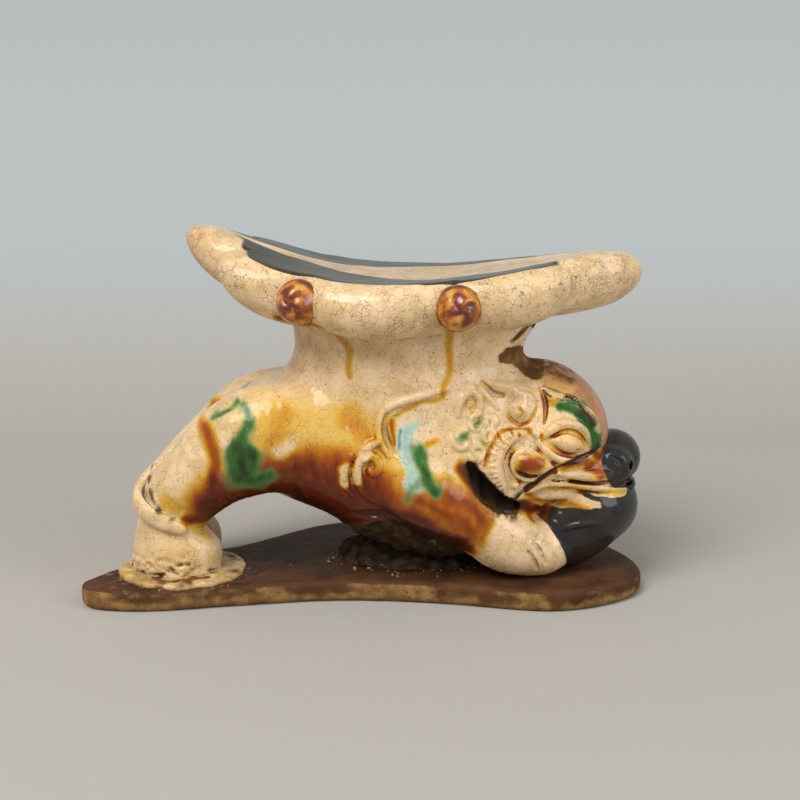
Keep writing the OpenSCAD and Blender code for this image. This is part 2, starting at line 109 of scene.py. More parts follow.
# %% [markdown]
# ## Clay as a distance field
# Soft clay has no sharp seams: a leg is pressed on, and the thumb smooths it into the flank. Meshes
# that cut through each other would show a hard line there. A field of distances does what the thumb
# does. Each form is a formula that gives the distance to its skin, negative inside, and two forms join
# by a soft minimum whose width is the fillet. The zero level of the field is then the skin of the whole
# animal, with one even mesh and no seam to hide.

# %% Paths and ovals
def smooth_path(stations, steps):
    """A smooth curve through stations of any number of values."""
    p = np.asarray(stations, float)
    p = np.vstack([p[:1], p, p[-1:]])
    t = (np.arange(steps) / steps)[:, None]
    spans = [
        0.5 * (2 * b + (c - a) * t + (2 * a - 5 * b + 4 * c - d) * t**2 + (3 * b - a - 3 * c + d) * t**3)
        for a, b, c, d in zip(p, p[1:], p[2:], p[3:])
    ]
    return np.vstack(spans + [p[-1:]])


def oval_depth(parts, radii):
    """Distance to an oval from the offsets along its axes."""
    k0 = np.sqrt(sum((p / r) ** 2 for p, r in zip(parts, radii)))
    k1 = np.sqrt(sum((p / (r * r)) ** 2 for p, r in zip(parts, radii)))
    return k0 * (k0 - 1) / (k1 + 1e-6)


# %% Forms
# A form is its distance formula with the low and high corners of the box that holds it.
UPRIGHT = 0.99


def ball(centre, radii):
    """A ball with three half sizes."""
    c, r = np.array(centre, float), np.array(radii, float)

    def depth(x, y, z):
        return oval_depth((x - c[0], y - c[1], z - c[2]), r)

    return depth, c - r, c + r


def limb(stations, steps=4):
    """Oval sections along a path: x, y, z, half height and half width."""
    s = smooth_path(stations, steps)

    def depth(x, y, z):
        nearest = None
        for a, b in zip(s, s[1:]):
            length = np.linalg.norm(b[:3] - a[:3])
            way = (b[:3] - a[:3]) / length
            upward = np.array((-1.0, 0, 0) if abs(way[2]) > UPRIGHT else (0, 0, 1.0))
            across = np.cross(upward, way)
            across /= np.linalg.norm(across)
            high = np.cross(way, across)
            px, py, pz = x - a[0], y - a[1], z - a[2]
            along = px * way[0] + py * way[1] + pz * way[2]
            share = np.clip(along / length, 0, 1)
            tall = a[3] + (b[3] - a[3]) * share
            wide = a[4] + (b[4] - a[4]) * share
            side = px * across[0] + py * across[1] + pz * across[2]
            rise = px * high[0] + py * high[1] + pz * high[2]
            d = oval_depth((along - share * length, side, rise), (np.minimum(tall, wide), wide, tall))
            nearest = d if nearest is None else np.minimum(nearest, d)
        return nearest

    reach = s[:, 3:].max(1)[:, None]
    return depth, (s[:, :3] - reach).min(0), (s[:, :3] + reach).max(0)


def roll(stations, steps=3):
    """A round roll of clay along a path: x, y, z and radius."""
    s = smooth_path(stations, steps)

    def depth(x, y, z):
        nearest = None
        for a, b in zip(s, s[1:]):
            way = b[:3] - a[:3]
            px, py, pz = x - a[0], y - a[1], z - a[2]
            share = np.clip((px * way[0] + py * way[1] + pz * way[2]) / (way @ way), 0, 1)
            off = (px - share * way[0]) ** 2 + (py - share * way[1]) ** 2 + (pz - share * way[2]) ** 2
            d = np.sqrt(off) - (a[3] + (b[3] - a[3]) * share)
            nearest = d if nearest is None else np.minimum(nearest, d)
        return nearest

    reach = s[:, 3:4]
    return depth, (s[:, :3] - reach).min(0), (s[:, :3] + reach).max(0)


def tower(sections):
    """Level oval sections, one above the other: height, middle x and y, half length and half width."""
    s = smooth_path(sorted(sections), 6)

    def depth(x, y, z):
        cx, cy, long, wide = (np.interp(z, s[:, 0], s[:, i]).astype(np.float32) for i in range(1, 5))
        level = oval_depth((x - cx, y - cy), (long, wide))
        return np.maximum(level, np.maximum(s[0, 0] - z, z - s[-1, 0]))

    long, wide = s[:, 3].max(), s[:, 4].max()
    low = (s[:, 1].min() - long, s[:, 2].min() - wide, s[0, 0])
    high = (s[:, 1].max() + long, s[:, 2].max() + wide, s[-1, 0])
    return depth, np.array(low), np.array(high)


def both_sides(form):
    """The same form on the near side and on the far side."""
    depth, low, high = form

    def twice(x, y, z):
        return depth(x, -np.abs(y), z)

    return twice, low, np.array((high[0], -low[1], high[2]))


# %% The block of clay
VOXEL = 0.5
MARGIN = 4.0
FAR_AWAY = 40.0


def corner_mean(base, share, value_at):
    """Weighs the values at a cell's eight corners by the share of the way across it."""
    total = np.zeros(len(base))
    for corner in np.ndindex(2, 2, 2):
        weight = np.prod(np.where(corner, share, 1 - share), axis=1)
        total += weight * value_at(base + np.array(corner))
    return total


class Clay:
    """A block of clay on a grid: field holds the distance to its skin, below zero inside."""

    def __init__(self, low, high, step):
        self.low, self.step = np.array(low, float), step
        counts = np.ceil((np.array(high) - self.low) / step).astype(int) + 1
        self.axes = [(self.low[i] + step * np.arange(counts[i])).astype(np.float32) for i in range(3)]
        self.field = np.full(counts, FAR_AWAY, np.float32)
        self.nearest = np.full(counts, FAR_AWAY, np.float32)
        self.owner = np.zeros(counts, np.int16)
        self.names = []

    def window(self, low, high):
        """The part of the grid between two corners, and its coordinates."""
        cut = []
        for axis, a, b in zip(self.axes, low, high):
            first, last = np.searchsorted(axis, (a, b))
            cut.append(slice(first, max(last, first + 1)))
        x, y, z = (axis[c] for axis, c in zip(self.axes, cut))
        return tuple(cut), x[:, None, None], y[None, :, None], z[None, None, :]

    def add(self, name, form, blend):
        """Joins a form to the clay with a fillet, and notes where it is the nearest form."""
        depth, low, high = form
        cut, x, y, z = self.window(low - blend - MARGIN, high + blend + MARGIN)
        d = depth(x, y, z).astype(np.float32)
        f = self.field[cut]
        mix = np.clip(0.5 + 0.5 * (f - d) / blend, 0, 1)
        self.field[cut] = f + (d - f) * mix - blend * mix * (1 - mix)
        if name not in self.names:
            self.names.append(name)
        closer = d < self.nearest[cut]
        self.nearest[cut][closer] = d[closer]
        self.owner[cut][closer] = self.names.index(name)

    def carve(self, form, blend):
        """Takes a form out of the clay, with softened edges."""
        depth, low, high = form
        cut, x, y, z = self.window(low - blend - MARGIN, high + blend + MARGIN)
        d = -depth(x, y, z).astype(np.float32)
        f = self.field[cut]
        mix = np.clip(0.5 - 0.5 * (f - d) / blend, 0, 1)
        self.field[cut] = f + (d - f) * mix + blend * mix * (1 - mix)

    def trim_below(self, level):
        """Cuts the clay off flat at a height."""
        self.field = np.maximum(self.field, level - self.axes[2][None, None, :])

    def cells_of(self, places):
        """Grid places that lie nearest to some points."""
        return tuple(np.round((places - self.low) / self.step).astype(int).T)

    def side_of(self, x, z):
        """Y of the near skin at a place seen from the side."""
        i, k = (int(round((v - self.low[a]) / self.step)) for v, a in ((x, 0), (z, 2)))
        column = self.field[i, :, k]
        inside = np.nonzero(column < 0)[0]
        if len(inside) == 0:
            return float(self.axes[1][column.argmin()])
        j = inside[0]
        a, b = column[j - 1], column[j]
        return float(self.axes[1][j - 1] + self.step * a / (a - b))

    def sample(self, places):
        """The field between its grid points."""
        q = (places - self.low) / self.step
        base = np.clip(np.floor(q).astype(int), 0, np.array(self.field.shape) - 2)
        return corner_mean(base, q - base, lambda spots: self.field[tuple(spots.T)])

    def outward(self, places):
        """The way out of the clay at each point."""
        ways = [self.sample(places + d) - self.sample(places - d) for d in np.eye(3) * self.step]
        n = np.stack(ways, 1)
        return n / (np.linalg.norm(n, axis=1)[:, None] + 1e-9)

    def skin(self):
        """Points and four-sided faces of the zero level, facing outwards."""
        grid = openvdb.FloatGrid(FAR_AWAY)
        grid.copyFromArray(self.field)
        grid.transform = openvdb.createLinearTransform(voxelSize=self.step)
        places, faces = grid.convertToQuads(0.0)
        places = places.astype(float) + self.low
        a, b, c, d = (places[faces[:, i]] for i in range(4))
        if np.einsum("ij,ij->", np.cross(c - a, d - b), (a + c) / 2) < 0:
            faces = faces[:, ::-1]
        return places, faces


# %% [markdown]
# ## The lion's masses
# First come the large forms, as a potter would press them: trunk, haunches, feet, forelegs, head and
# jaws. A limb is a row of oval sections along its bone, a foot is a stack of level ovals, and the head
# is made of balls. Their sections follow the animal's pose, and the far hind foot stands further back.

# %% Sections of trunk, limbs and head
SLAB_TOP = 7.0
SUNK = 0.4
LION_LOW, LION_HIGH = (-82, -43, SLAB_TOP - 3), (93, 43, 120)
TRUNK = [
    (-37, 0, 53, 9, 10), (-30, 0, 51.5, 16, 19), (-18, 0, 50, 21, 25.5), (-2, 0, 47.5, 25, 28.5),
    (15, 0, 43.5, 30, 29.5), (30, 0, 42, 32, 27.5), (41, 0, 44, 27, 20), (49, 0, 46, 18, 10),
]
FOOT_ASIDE, FAR_FOOT_BACK = 9.5, 3.0
SET_BACK_FROM, SET_BACK_OVER = -35, 26
HAUNCH = [
    (-14, 15, 57, 9, 9), (-24, 15, 54, 15, 12), (-35, 14.5, 50.5, 16.5, 13), (-46.5, 12.5, 43, 13.6, 11.8),
    (-57.4, 10, 32.5, 11.6, 10.2), (-61.8, FOOT_ASIDE, 24.4, 9.6, 9.4), (-61.8, FOOT_ASIDE, 19, 9.2, 9),
]
HIND_FOOT = [
    (25, 62, 8.8, 9.2), (21, 61.4, 10.8, 10.2), (17, 60.4, 13.5, 10.8), (13, 60.2, 14.6, 11),
    (9, 60.4, 14.4, 10.8), (5, 60.4, 14.2, 10.6),
]
FORELEG = [
    (5, -19, 46, 6, 7), (12, -22, 40.5, 11, 10.5), (22, -22, 35, 11.5, 10.5), (34, -18.5, 27.5, 9.2, 9.6),
    (41, -15.5, 23, 8.4, 9),
]
FOREPAW = [
    (34, -17.5, 27, 7, 6.5), (37, -16.5, 24.5, 9.6, 9.7), (45, -15, 19, 10.4, 10.5),
    (54, -13.5, 14.5, 7.6, 8.5), (58.4, -13, 12.2, 4.2, 5.5), (59.2, -13, 11.6, 1.6, 2.5),
]
SKULL = ((53.8, 0, 49.6), (24, 24, 24))
UPPER_JAW = ((68, 0, 39), (16, 17.5, 10))
LOWER_JAW = ((70.2, 0, 27), (18.2, 18.2, 14.6))
CHIN = ((64.5, 0, 18.5), (14.5, 16.6, 12.2))
NOSE = ((80, 0, 42.5), (9, 10.5, 8.8))
NOSE_WING = ((78.6, -9.2, 41.6), (6.4, 5, 6.2))


# %% Pressing the masses together
def haunch(side, back):
    """Stations of one hind leg, set back where it nears the ground."""
    drawn = [min(max((SET_BACK_FROM - s[0]) / SET_BACK_OVER, 0), 1) * back for s in HAUNCH]
    return [(x - d, side * y, z, tall, wide) for (x, y, z, tall, wide), d in zip(HAUNCH, drawn)]


def hind_foot(side, back):
    """Sections of one hind foot."""
    return [(z, -x - back, side * FOOT_ASIDE, long, wide) for z, x, long, wide in HIND_FOOT]


# Each mass has a name, its form and the width of its fillet.
MASSES = [
    ("body", limb(TRUNK), 1.0),
    ("hind_leg_near", limb(haunch(-1, 0)), 5.0),
    ("hind_leg_far", limb(haunch(1, FAR_FOOT_BACK)), 5.0),
    ("hind_foot_near", tower(hind_foot(-1, 0)), 2.0),
    ("hind_foot_far", tower(hind_foot(1, FAR_FOOT_BACK)), 2.0),
    ("foreleg", both_sides(limb(FORELEG)), 2.4),
    ("forepaw", both_sides(limb(FOREPAW)), 2.5),
    ("skull", ball(*SKULL), 2.5),
    ("upper_jaw", ball(*UPPER_JAW), 1.5),
    ("lower_jaw", ball(*LOWER_JAW), 0.8),
    ("lower_jaw", ball(*CHIN), 5.0),
    ("nose", ball(*NOSE), 1.6),
    ("nose", both_sides(ball(*NOSE_WING)), 1.4),
]
lion = Clay(LION_LOW, LION_HIGH, VOXEL)
for name, form, fillet in MASSES:
    lion.add(name, form, fillet)
print("masses:", lion.names)

# %% [markdown]
# ## Collar and headrest
# The collar is a stack of ovals that flares under the headrest. The headrest is an oval dish with a
# puffy rim, drawn in at eight notches, and it warped in the kiln. A lathe form or a bent grid would
# need every lobe moved by hand. Here the rim is two quarter ovals, in a share of its reach and of its
# thickness: a full one above and a long shallow one below. The notches and the warp only change these.

# %% Shape of the headrest
REST_MIDDLE = 15.7
REST_LONG, REST_DEEP = 71.2, 38.5
REST_TOP, REST_THICK = 102.0, 16.6
REST_LOW, REST_HIGH = 80.0, 118.0
THICK_BOW, THICK_LEAN = 1.2, 0.6
END_RISE, END_EASE, END_TURN = 18.6, 5.0, 4.4
HEAD_TWIST, TAIL_TWIST = 6.0, 9.0
HALF_NOTCHES = (41, 78.6, 123.5, 157)
NOTCHES = np.array([-a for a in reversed(HALF_NOTCHES)] + list(HALF_NOTCHES) + [360 - HALF_NOTCHES[-1]])
NOTCH_DEPTH, NOTCH_LIFT, NOTCH_POWER = 9.0, 0.34, 0.5
DISH, DISH_REACH, DISH_POWER = 0.05, 0.84, 1.5
RIM_LEVEL = 0.6
UPPER_START, LOWER_START = 0.82, 0.78
LEAST_REACH = 0.05


def rest_top(x, y):
    """Height of the rim; the far side of the head end hangs a little, and the near side of the tail end."""
    u, back = (x - REST_MIDDLE) / REST_LONG, (1 + y / REST_DEEP) / 2
    hang = HEAD_TWIST * np.maximum(u, 0) ** 1.5 * back**2
    hang = hang + TAIL_TWIST * np.maximum(-u, 0) * np.maximum(-y / REST_DEEP, 0) ** 1.2
    return REST_TOP + END_RISE * u**2 - END_EASE * u**4 - END_TURN * u**3 - hang


def rest_thick(x):
    """Thickness of the headrest along its length."""
    u = (x - REST_MIDDLE) / REST_LONG
    return REST_THICK + THICK_BOW * u * u + THICK_LEAN * u


def rest_place(x, y):
    """The share of the way out to the lobed rim, and how far the rim is drawn in there."""
    u, v = (x - REST_MIDDLE) / REST_LONG, y / REST_DEEP
    angle = np.degrees(np.arctan2(v, u))
    turned = np.where(angle < NOTCHES[0], angle + 360, angle)
    lobe = np.clip(np.searchsorted(NOTCHES, turned, side="right") - 1, 0, len(NOTCHES) - 2)
    share = (turned - NOTCHES[lobe]) / (NOTCHES[lobe + 1] - NOTCHES[lobe])
    notch = 1 - np.abs(np.sin(np.pi * share)) ** NOTCH_POWER
    reach = np.sqrt(u * u + v * v)
    drawn = notch * np.clip(reach, 0, 1) ** 2
    return reach / (1 - NOTCH_DEPTH / REST_DEEP * drawn), drawn


def rest_depth(x, y, z):
    """Distance to the headrest."""
    reach, drawn = rest_place(x, y)
    thick = rest_thick(x)
    sag = DISH * np.clip(1 - (reach / DISH_REACH) ** 2, 0, 1) ** DISH_POWER
    level = 1 - (rest_top(x, y) - z) / thick + sag
    upper = level > RIM_LEVEL
    lifted = 1 - NOTCH_LIFT * drawn
    thick = np.where(upper, thick, thick * lifted)
    level = np.where(upper, level, RIM_LEVEL - (RIM_LEVEL - level) / lifted)
    start = np.where(upper, UPPER_START, LOWER_START)
    tall = np.where(upper, 1 - RIM_LEVEL, RIM_LEVEL)
    radius = np.sqrt((x - REST_MIDDLE) ** 2 + y * y) / np.maximum(reach, LEAST_REACH)
    out = np.maximum(reach - start, 0) / (1 - start)
    rise = np.abs(level - RIM_LEVEL) / tall
    k0 = np.sqrt(out**2 + rise**2)
    k1 = np.sqrt((out / ((1 - start) * radius)) ** 2 + (rise / (tall * thick)) ** 2)
    return k0 * (k0 - 1) / (k1 + 1e-6)


# %% Adding collar and headrest
COLLAR = [
    (52, 13.5, 0, 33, 21), (61, 13.5, 0, 37, 24.6), (69, 13.5, 0, 38, 26), (75.5, 13.6, 0, 36.6, 25),
    (79, 14.2, 0, 36.4, 25.2), (82.5, 14.8, 0, 37.2, 25.4), (86, 15.5, 0, 38.6, 26),
    (92, 15.6, 0, 41, 27), (97, 15.6, 0, 43, 28),
]
COLLAR_FILLET, REST_FILLET = 6.0, 1.8

headrest = (
    rest_depth,
    np.array((REST_MIDDLE - REST_LONG, -REST_DEEP, REST_LOW)),
    np.array((REST_MIDDLE + REST_LONG, REST_DEEP, REST_HIGH)),
)
lion.add("collar", tower(COLLAR), COLLAR_FILLET)
lion.add("headrest", headrest, REST_FILLET)
print("with the headrest:", lion.field.shape, "grid points")

# %% [markdown]
# ## Relief
# Lids, lips, curls and scrolls are thin rolls of clay laid on the surface and pressed down, and the
# grooves beside them were cut with a stick. A bump in the finish could fake them, but they show in the
# outline and hold the pooled glaze, so they are real clay. Each line is given as it is seen from the
# side, x and z, and the field says how far out the skin lies there.

# %% Laying rolls on the skin
END_SHARE = 0.6
CURL_POINTS = 12


def laid(places, radius, sink):
    """Stations of a roll along places seen from the side, sunk into the skin by a share of its radius."""
    p = np.array(places, float)
    radii = np.full(len(p), float(radius)) if np.isscalar(radius) else np.array(radius, float)
    if np.isscalar(radius):
        radii[[0, -1]] *= END_SHARE
    return [(x, lion.side_of(x, z) + sink * r, z, r) for (x, z), r in zip(p, radii)]


def add_roll(name, places, radius, sink=0.08, blend=0.35):
    """Lays a roll on both sides of the lion."""
    lion.add(name, both_sides(roll(laid(places, radius, sink))), blend)


def add_groove(places, radius, sink=0.3, blend=0.35):
    """Cuts a groove on both sides of the lion."""
    lion.carve(both_sides(roll(laid(places, radius, sink))), blend)


def curl(x, z, radius, start, turn, close):
    """A curl that winds inwards: turn is in degrees, and close is the last share of its radius."""
    around = np.radians(start + np.linspace(0, turn, CURL_POINTS))
    shrink = radius * np.linspace(1, close, CURL_POINTS)
    return np.stack([x + shrink * np.cos(around), z + shrink * np.sin(around)], 1)


# %% Cap over the forehead
CAP_GROW, CAP_FILLET = 0.4, 0.8
CAP_HALF, CAP_FLARE, CAP_FLARE_FROM, CAP_FLARE_TALL, CAP_FOOT = 13, 0.13, 51, 18, 49
CAP_LOW, CAP_HIGH = np.array((40.0, -18, 48)), np.array((80.0, 18, 76))


def cap_depth(x, y, z):
    """Raised cap over the forehead, between the two beaded borders."""
    centre, radii = SKULL
    grown_radii = [r + CAP_GROW for r in radii]
    over = oval_depth((x - centre[0], y - centre[1], z - centre[2]), grown_radii)
    half = CAP_HALF + CAP_FLARE * np.clip(z - CAP_FLARE_FROM, 0, CAP_FLARE_TALL)
    return np.maximum(over, np.maximum(np.abs(y) - half, CAP_FOOT - z))


lion.add("forehead_band", (cap_depth, CAP_LOW, CAP_HIGH), CAP_FILLET)
print("cap over the forehead added")

# %% Brow, eye and ear
BROW = [(56.6, 63.4), (60, 63.3), (63.8, 62.1), (67.1, 60.4), (69.7, 57.7), (71.8, 54), (72.2, 51.2)]
EYEBALL = [(57.4, 53.1), (60, 52.5), (62.3, 51.7), (64.8, 50.9), (67.2, 50)]
UPPER_LID = [(55.2, 54.6), (57, 56.2), (59.6, 57.4), (62.7, 57.6), (66.1, 56.2), (68.3, 53.6), (69.7, 50.7)]
LOWER_LID = [(53.1, 52.8), (55.5, 50), (58.5, 47.7), (62.2, 46.5), (65.6, 46.4)]
EYE_CORNER = [(52, 55.2), (52.8, 54.6)]
EAR = [(48.6, 46.2), (51.5, 45.8), (54.5, 44.9), (57.4, 44.1)]
EAR_EDGE = [
    (58.2, 43.9), (54.8, 47.6), (50.5, 49.8), (46.8, 48.9), (45.3, 46), (46.8, 42.3), (50.6, 40.5),
    (54.6, 41.9),
]

add_roll("brow", BROW, (0.8, 1.8, 2.3, 2.4, 2.2, 1.8, 0.9), 0.3)
add_roll("eye", EYEBALL, (0.7, 2.3, 3, 2.4, 0.7), 0.25)
add_roll("eye", UPPER_LID, 1.5)
add_roll("eye", LOWER_LID, 1.5)
add_roll("eye", EYE_CORNER, 1.7, 0.2)
add_roll("ear", EAR, (3.2, 3.5, 2.4, 0.8), 0.2)
add_roll("ear", EAR_EDGE + EAR_EDGE[:1], 1.1, 0.0)
print("brow, eye and ear laid on")

# %% Lips, cheek and nose
LIP_RIDGE = [(59.5, 42.4), (65.8, 40.9), (72.1, 40.1), (76.8, 40.1)]
LIP_GROOVE = [(58, 39.6), (65.4, 38.6), (72, 38), (77, 37.6)]
UPPER_LIP = [(50.4, 35.6), (53, 37.2), (56.4, 38.6), (62.9, 38), (68.8, 36.8), (75.7, 35.2), (81.5, 34.3)]
LIP_FRONT = [(85.6, -7, 34.4, 0.8), (86.6, 0, 34.6, 0.8)]
LOWER_LIP = [(52.3, 33.8), (56.2, 34.8), (60, 35), (64.5, 34.1), (68.9, 32.6), (74.6, 30.6)]
CREASE = [(45.4, 33.9), (49.4, 36.7), (54.2, 40.4), (58.4, 43.6), (63, 45.4), (69.6, 47.6), (73, 49.4)]
NOSE_FOLD = [(77.6, 45.2), (79.4, 44.4), (80.6, 42.6), (80.2, 40.6)]
NOSTRIL = ((82.6, -9.8, 42), (2, 2.4, 2))

add_roll("upper_lip", LIP_RIDGE, 1.6)
add_groove(LIP_GROOVE, 0.8)
lion.add("upper_lip", both_sides(roll(laid(UPPER_LIP, 1.15, 0.1) + LIP_FRONT)), 0.35)
add_roll("lower_lip", LOWER_LIP, (1.0, 2.2, 2.7, 2.7, 2.0, 0.6), 0.68, 0.8)
add_groove(CREASE, 0.8)
add_groove(NOSE_FOLD, 0.9, 0.0)
lion.carve(both_sides(ball(*NOSTRIL)), 0.8)
print("lips, cheek and nose laid on")

# %% [markdown]
# ## Mane and scrolls
# The mane is a ribbed fan beside the ear, a fat comma above it and a cluster of small curls. A scroll
# with two leaves runs over the shoulder. A curl is a spiral, and the ribs stand at even steps around the
# fan, so loops lay them. The larger bends are given as listed points, because the potter drew them so.

# %% Fan of the mane
FAN = [(48.6, 55), (44.3, 53.5), (41.3, 50.4), (39.9, 46.6), (40.4, 42.5), (42, 38.8), (42.8, 36.2)]
FAN_HUB = np.array((50.0, 45.5))
FAN_RIBS, FAN_FIRST, FAN_LAST = 15, 0.06, 0.94
RIB_INNER, RIB_MIDDLE, RIB_OUTER = -1.0, 0.8, 2.4
FAN_END = [(46.2, 38.6), (46.8, 39)]

add_roll("mane_curls", FAN, (1.4, 2.3, 2.7, 2.8, 2.7, 2.2, 1.4), 0.2)
fan_line = smooth_path(FAN, 12)
fan_ribs = []
for share in np.linspace(FAN_FIRST, FAN_LAST, FAN_RIBS):
    foot = fan_line[int(share * (len(fan_line) - 1))]
    out = (foot - FAN_HUB) / np.linalg.norm(foot - FAN_HUB)
    fan_ribs.append([foot + reach * out for reach in (RIB_INNER, RIB_MIDDLE, RIB_OUTER)])
    add_groove(fan_ribs[-1], 0.36, 0.15, 0.25)
add_roll("mane_curls", FAN_END, 2.1, 0.1)
print("fan with", len(fan_ribs), "ribs")

# %% Comma and curls of the mane
COMMA = [(35.6, 71), (40.2, 69), (44.8, 67), (49, 65.2), (50.3, 62.4), (48.5, 60.6), (46.8, 61)]
SPIRAL = [
    (47.4, 68.2), (51.9, 66.6), (53, 63.2), (50.7, 58.8), (47.2, 57.7), (44.4, 59.8), (44.8, 62.2),
    (46.9, 62.9), (48.5, 61), (47.2, 59.5),
]
TEMPLE_GROOVE = [(53.9, 68), (55.2, 65.6), (55.6, 61.8), (54.9, 58.1)]
COMMA_STEM = [(34.4, 70), (38.2, 65.4), (41.2, 62.2)]
STEM_GROOVE = [(36, 71), (39.6, 66.8), (43, 66)]
LOOP = [(28.7, 61), (28.9, 63.8), (30.2, 66.6), (32.8, 67.9), (35.2, 65.5), (34.7, 61.8), (32.3, 60.5)]
LOOP_BUTTON = [(31.8, 63.8), (32.4, 64.2)]
CURLS = [
    (34.6, 58.4, 3.0, 40), (29.9, 54, 3.2, 150), (37.8, 54.4, 2.6, 270), (34.3, 50.2, 2.8, 200),
    (38.6, 58.6, 2.2, 320),
]
CURL_TURN, CURL_CLOSE = 486, 0.2575

add_roll("mane_curls", COMMA, (0.9, 1.9, 3.0, 4.2, 4.4, 4.2, 3.6), 0.70, 0.3)
add_groove(SPIRAL, 0.42, 0.4, 0.3)
add_groove(TEMPLE_GROOVE, 0.7)
add_roll("mane_curls", COMMA_STEM, 1.15, 0.25)
add_groove(STEM_GROOVE, 0.8)
add_roll("mane_curls", LOOP, 1.35)
add_roll("mane_curls", LOOP_BUTTON, 1.5, 0.15)
for x, z, radius, start in CURLS:
    add_roll("mane_curls", curl(x, z, radius, start, CURL_TURN, CURL_CLOSE), 1.0, 0.05)
print("comma, loop and", len(CURLS), "curls laid on")

# %% Shoulder scroll
SCROLL_STEM = [(25.2, 69.2), (14.5, 66.4), (8.5, 64.1), (5.5, 61.5), (4.6, 57.2), (5.5, 53.5), (7.9, 49.5)]
INNER_LEAF = [(4.9, 54), (1.9, 52.2), (-1, 47.7), (-1.7, 43.8), (0.2, 38.1), (3, 35)]
LEAF_CURL = [(0.6, 48.6), (2.8, 49.4), (4.7, 48.2), (4.9, 45.6), (3.2, 44.3), (1.9, 45.4)]
OUTER_LEAF = [(-3.2, 49.5), (-5.4, 45.4), (-5.4, 40.6), (-3, 36.2)]
SCROLL_GROOVE = [(7.2, 62), (6.6, 57.6), (7.6, 53.8), (9.8, 50)]

add_roll("shoulder_scroll", SCROLL_STEM, 1.3)
add_roll("shoulder_scroll", INNER_LEAF, (1.2, 1.6, 1.8, 1.8, 1.6, 0.9))
add_roll("shoulder_scroll", LEAF_CURL, 1.5)
add_roll("shoulder_scroll", OUTER_LEAF, (0.9, 1.7, 1.7, 0.8))
add_groove(SCROLL_GROOVE, 0.8)
print("shoulder scroll laid on")

# %% [markdown]
# ## Hollows, beard and tail
# Between foreleg and mane the potter left a deep dark hollow, and the foreleg is undercut where it
# leaves the belly. One wide cut would tear the skin open, so the hollow is dug in three passes, each
# laid on the floor of the one before. The tail is a flat limb that lies around the hock.

# %% Hollow and undercut
RECESS = [(32.4, 46), (34.8, 41.4), (38, 36.8), (42, 33), (47, 30.8)]
RECESS_PASSES = ((1.4, 2.4, 2.9, 2.8, 1.8), (1.0, 2.2, 2.6, 2.4, 1.2), (0.8, 1.8, 2.2, 2.0, 1.0))
LEG_EDGE = [(-2, 29.5), (7, 29.5), (15, 25.5), (23, 21), (31, 16.5), (38, 13)]

recess_cuts = []
for radii in RECESS_PASSES:
    recess_cuts.append(both_sides(roll(laid(RECESS, radii, 0.25))))
    lion.carve(recess_cuts[-1], 0.8)
add_groove(LEG_EDGE, (1.0, 2.2, 2.6, 2.6, 2.2, 1.2), 0.2, 0.8)
print("hollow dug in", len(recess_cuts), "passes")

# %% Beard, tail and toes
BEARD_ROLL = [(61.6, 22.5), (65.6, 24.3), (70.4, 25.2), (75, 25)]
BEARD_CURLS = [(60.6, 26, 1.9, 20), (57, 30.4, 1.6, 120)]
BEARD_TURN, BEARD_CLOSE = 430, 0.4
TAIL = [
    (-30, -1.5, 65.5, 1.6, 2.4), (-43, -2, 59.2, 2.2, 2.8), (-53, -3, 51.8, 2.4, 3),
    (-63.5, -4.5, 42.4, 2.4, 3), (-69.9, -7, 35.4, 3.0, 2.6), (-71.4, -12, 31.4, 3.3, 2.1),
    (-68.3, -17.2, 28.6, 3.1, 1.9), (-62.5, -20.2, 26.2, 2.8, 1.6), (-56.6, -19.0, 23.4, 2.0, 1.5),
]
TAIL_FILLET = 0.5
TOES = [[(51, 18), (52.8, 14.6), (54, 11.4)], [(53, 20), (55.2, 16.4), (56.8, 13)]]

add_roll("lower_jaw", BEARD_ROLL, (0.7, 1.3, 1.2, 0.6), 0.45)
for x, z, radius, start in BEARD_CURLS:
    add_roll("lower_jaw", curl(x, z, radius, start, BEARD_TURN, BEARD_CLOSE), 0.6, 0.25)
lion.add("tail", limb(TAIL), TAIL_FILLET)
for line in TOES:
    add_groove(line, 0.8, 0.1)
lion.trim_below(SLAB_TOP - SUNK)
points, quads = lion.skin()
print("skin:", len(points), "points,", len(quads), "faces")

# %% [markdown]
# ## The hand and time
# Clay keeps the hand's unevenness: wide shallow lumps all over. Time has flaked the hind feet, and the
# belly is clotted with rough clay below the foreleg. Lumps, pits and clots are moved points of the mesh,
# not a bump, because they show in the outline. A fixed seed gives the same lumps at every run.


# %% Random lumps
GRAIN_SEED, GRAIN_CELLS = 7, 32


class Grain:
    """Smooth random lumps in space, the same at every run."""

    def __init__(self, seed):
        self.lattice = np.random.default_rng(seed).random((GRAIN_CELLS,) * 3) - 0.5

    def __call__(self, places, size):
        q = places / size
        base = np.floor(q).astype(int)
        t = q - base
        t = t**3 * (6 * t * t - 15 * t + 10)
        return corner_mean(base, t, lambda spots: self.lattice[tuple((spots % GRAIN_CELLS).T)])


def ease(value, low, high):
    """Runs from 0 at low to 1 at high with soft ends; low may lie above high."""
    t = np.clip((value - low) / (high - low), 0, 1)
    return t * t * (3 - 2 * t)


grain = Grain(GRAIN_SEED)
skin_x, skin_y, skin_z = points.T
normals = lion.outward(points)
owner_of_point = lion.owner[lion.cells_of(points)]
print("points by form:", dict(zip(lion.names, np.bincount(owner_of_point).tolist())))


def on_piece(*names):
    """True for the points of the named forms."""
    return np.isin(owner_of_point, [lion.names.index(n) for n in names])


# %% Lumps, pits and clots
WIDE_LUMPS, SMALL_LUMPS = 0.55, 0.10
PIT_DEPTH = 2.6
CLAY_AT, CLAY_TOP = (-14, -4, 6, 17, 24, 34, 44), (19, 25.5, 28, 25.5, 21.5, 16, 10)

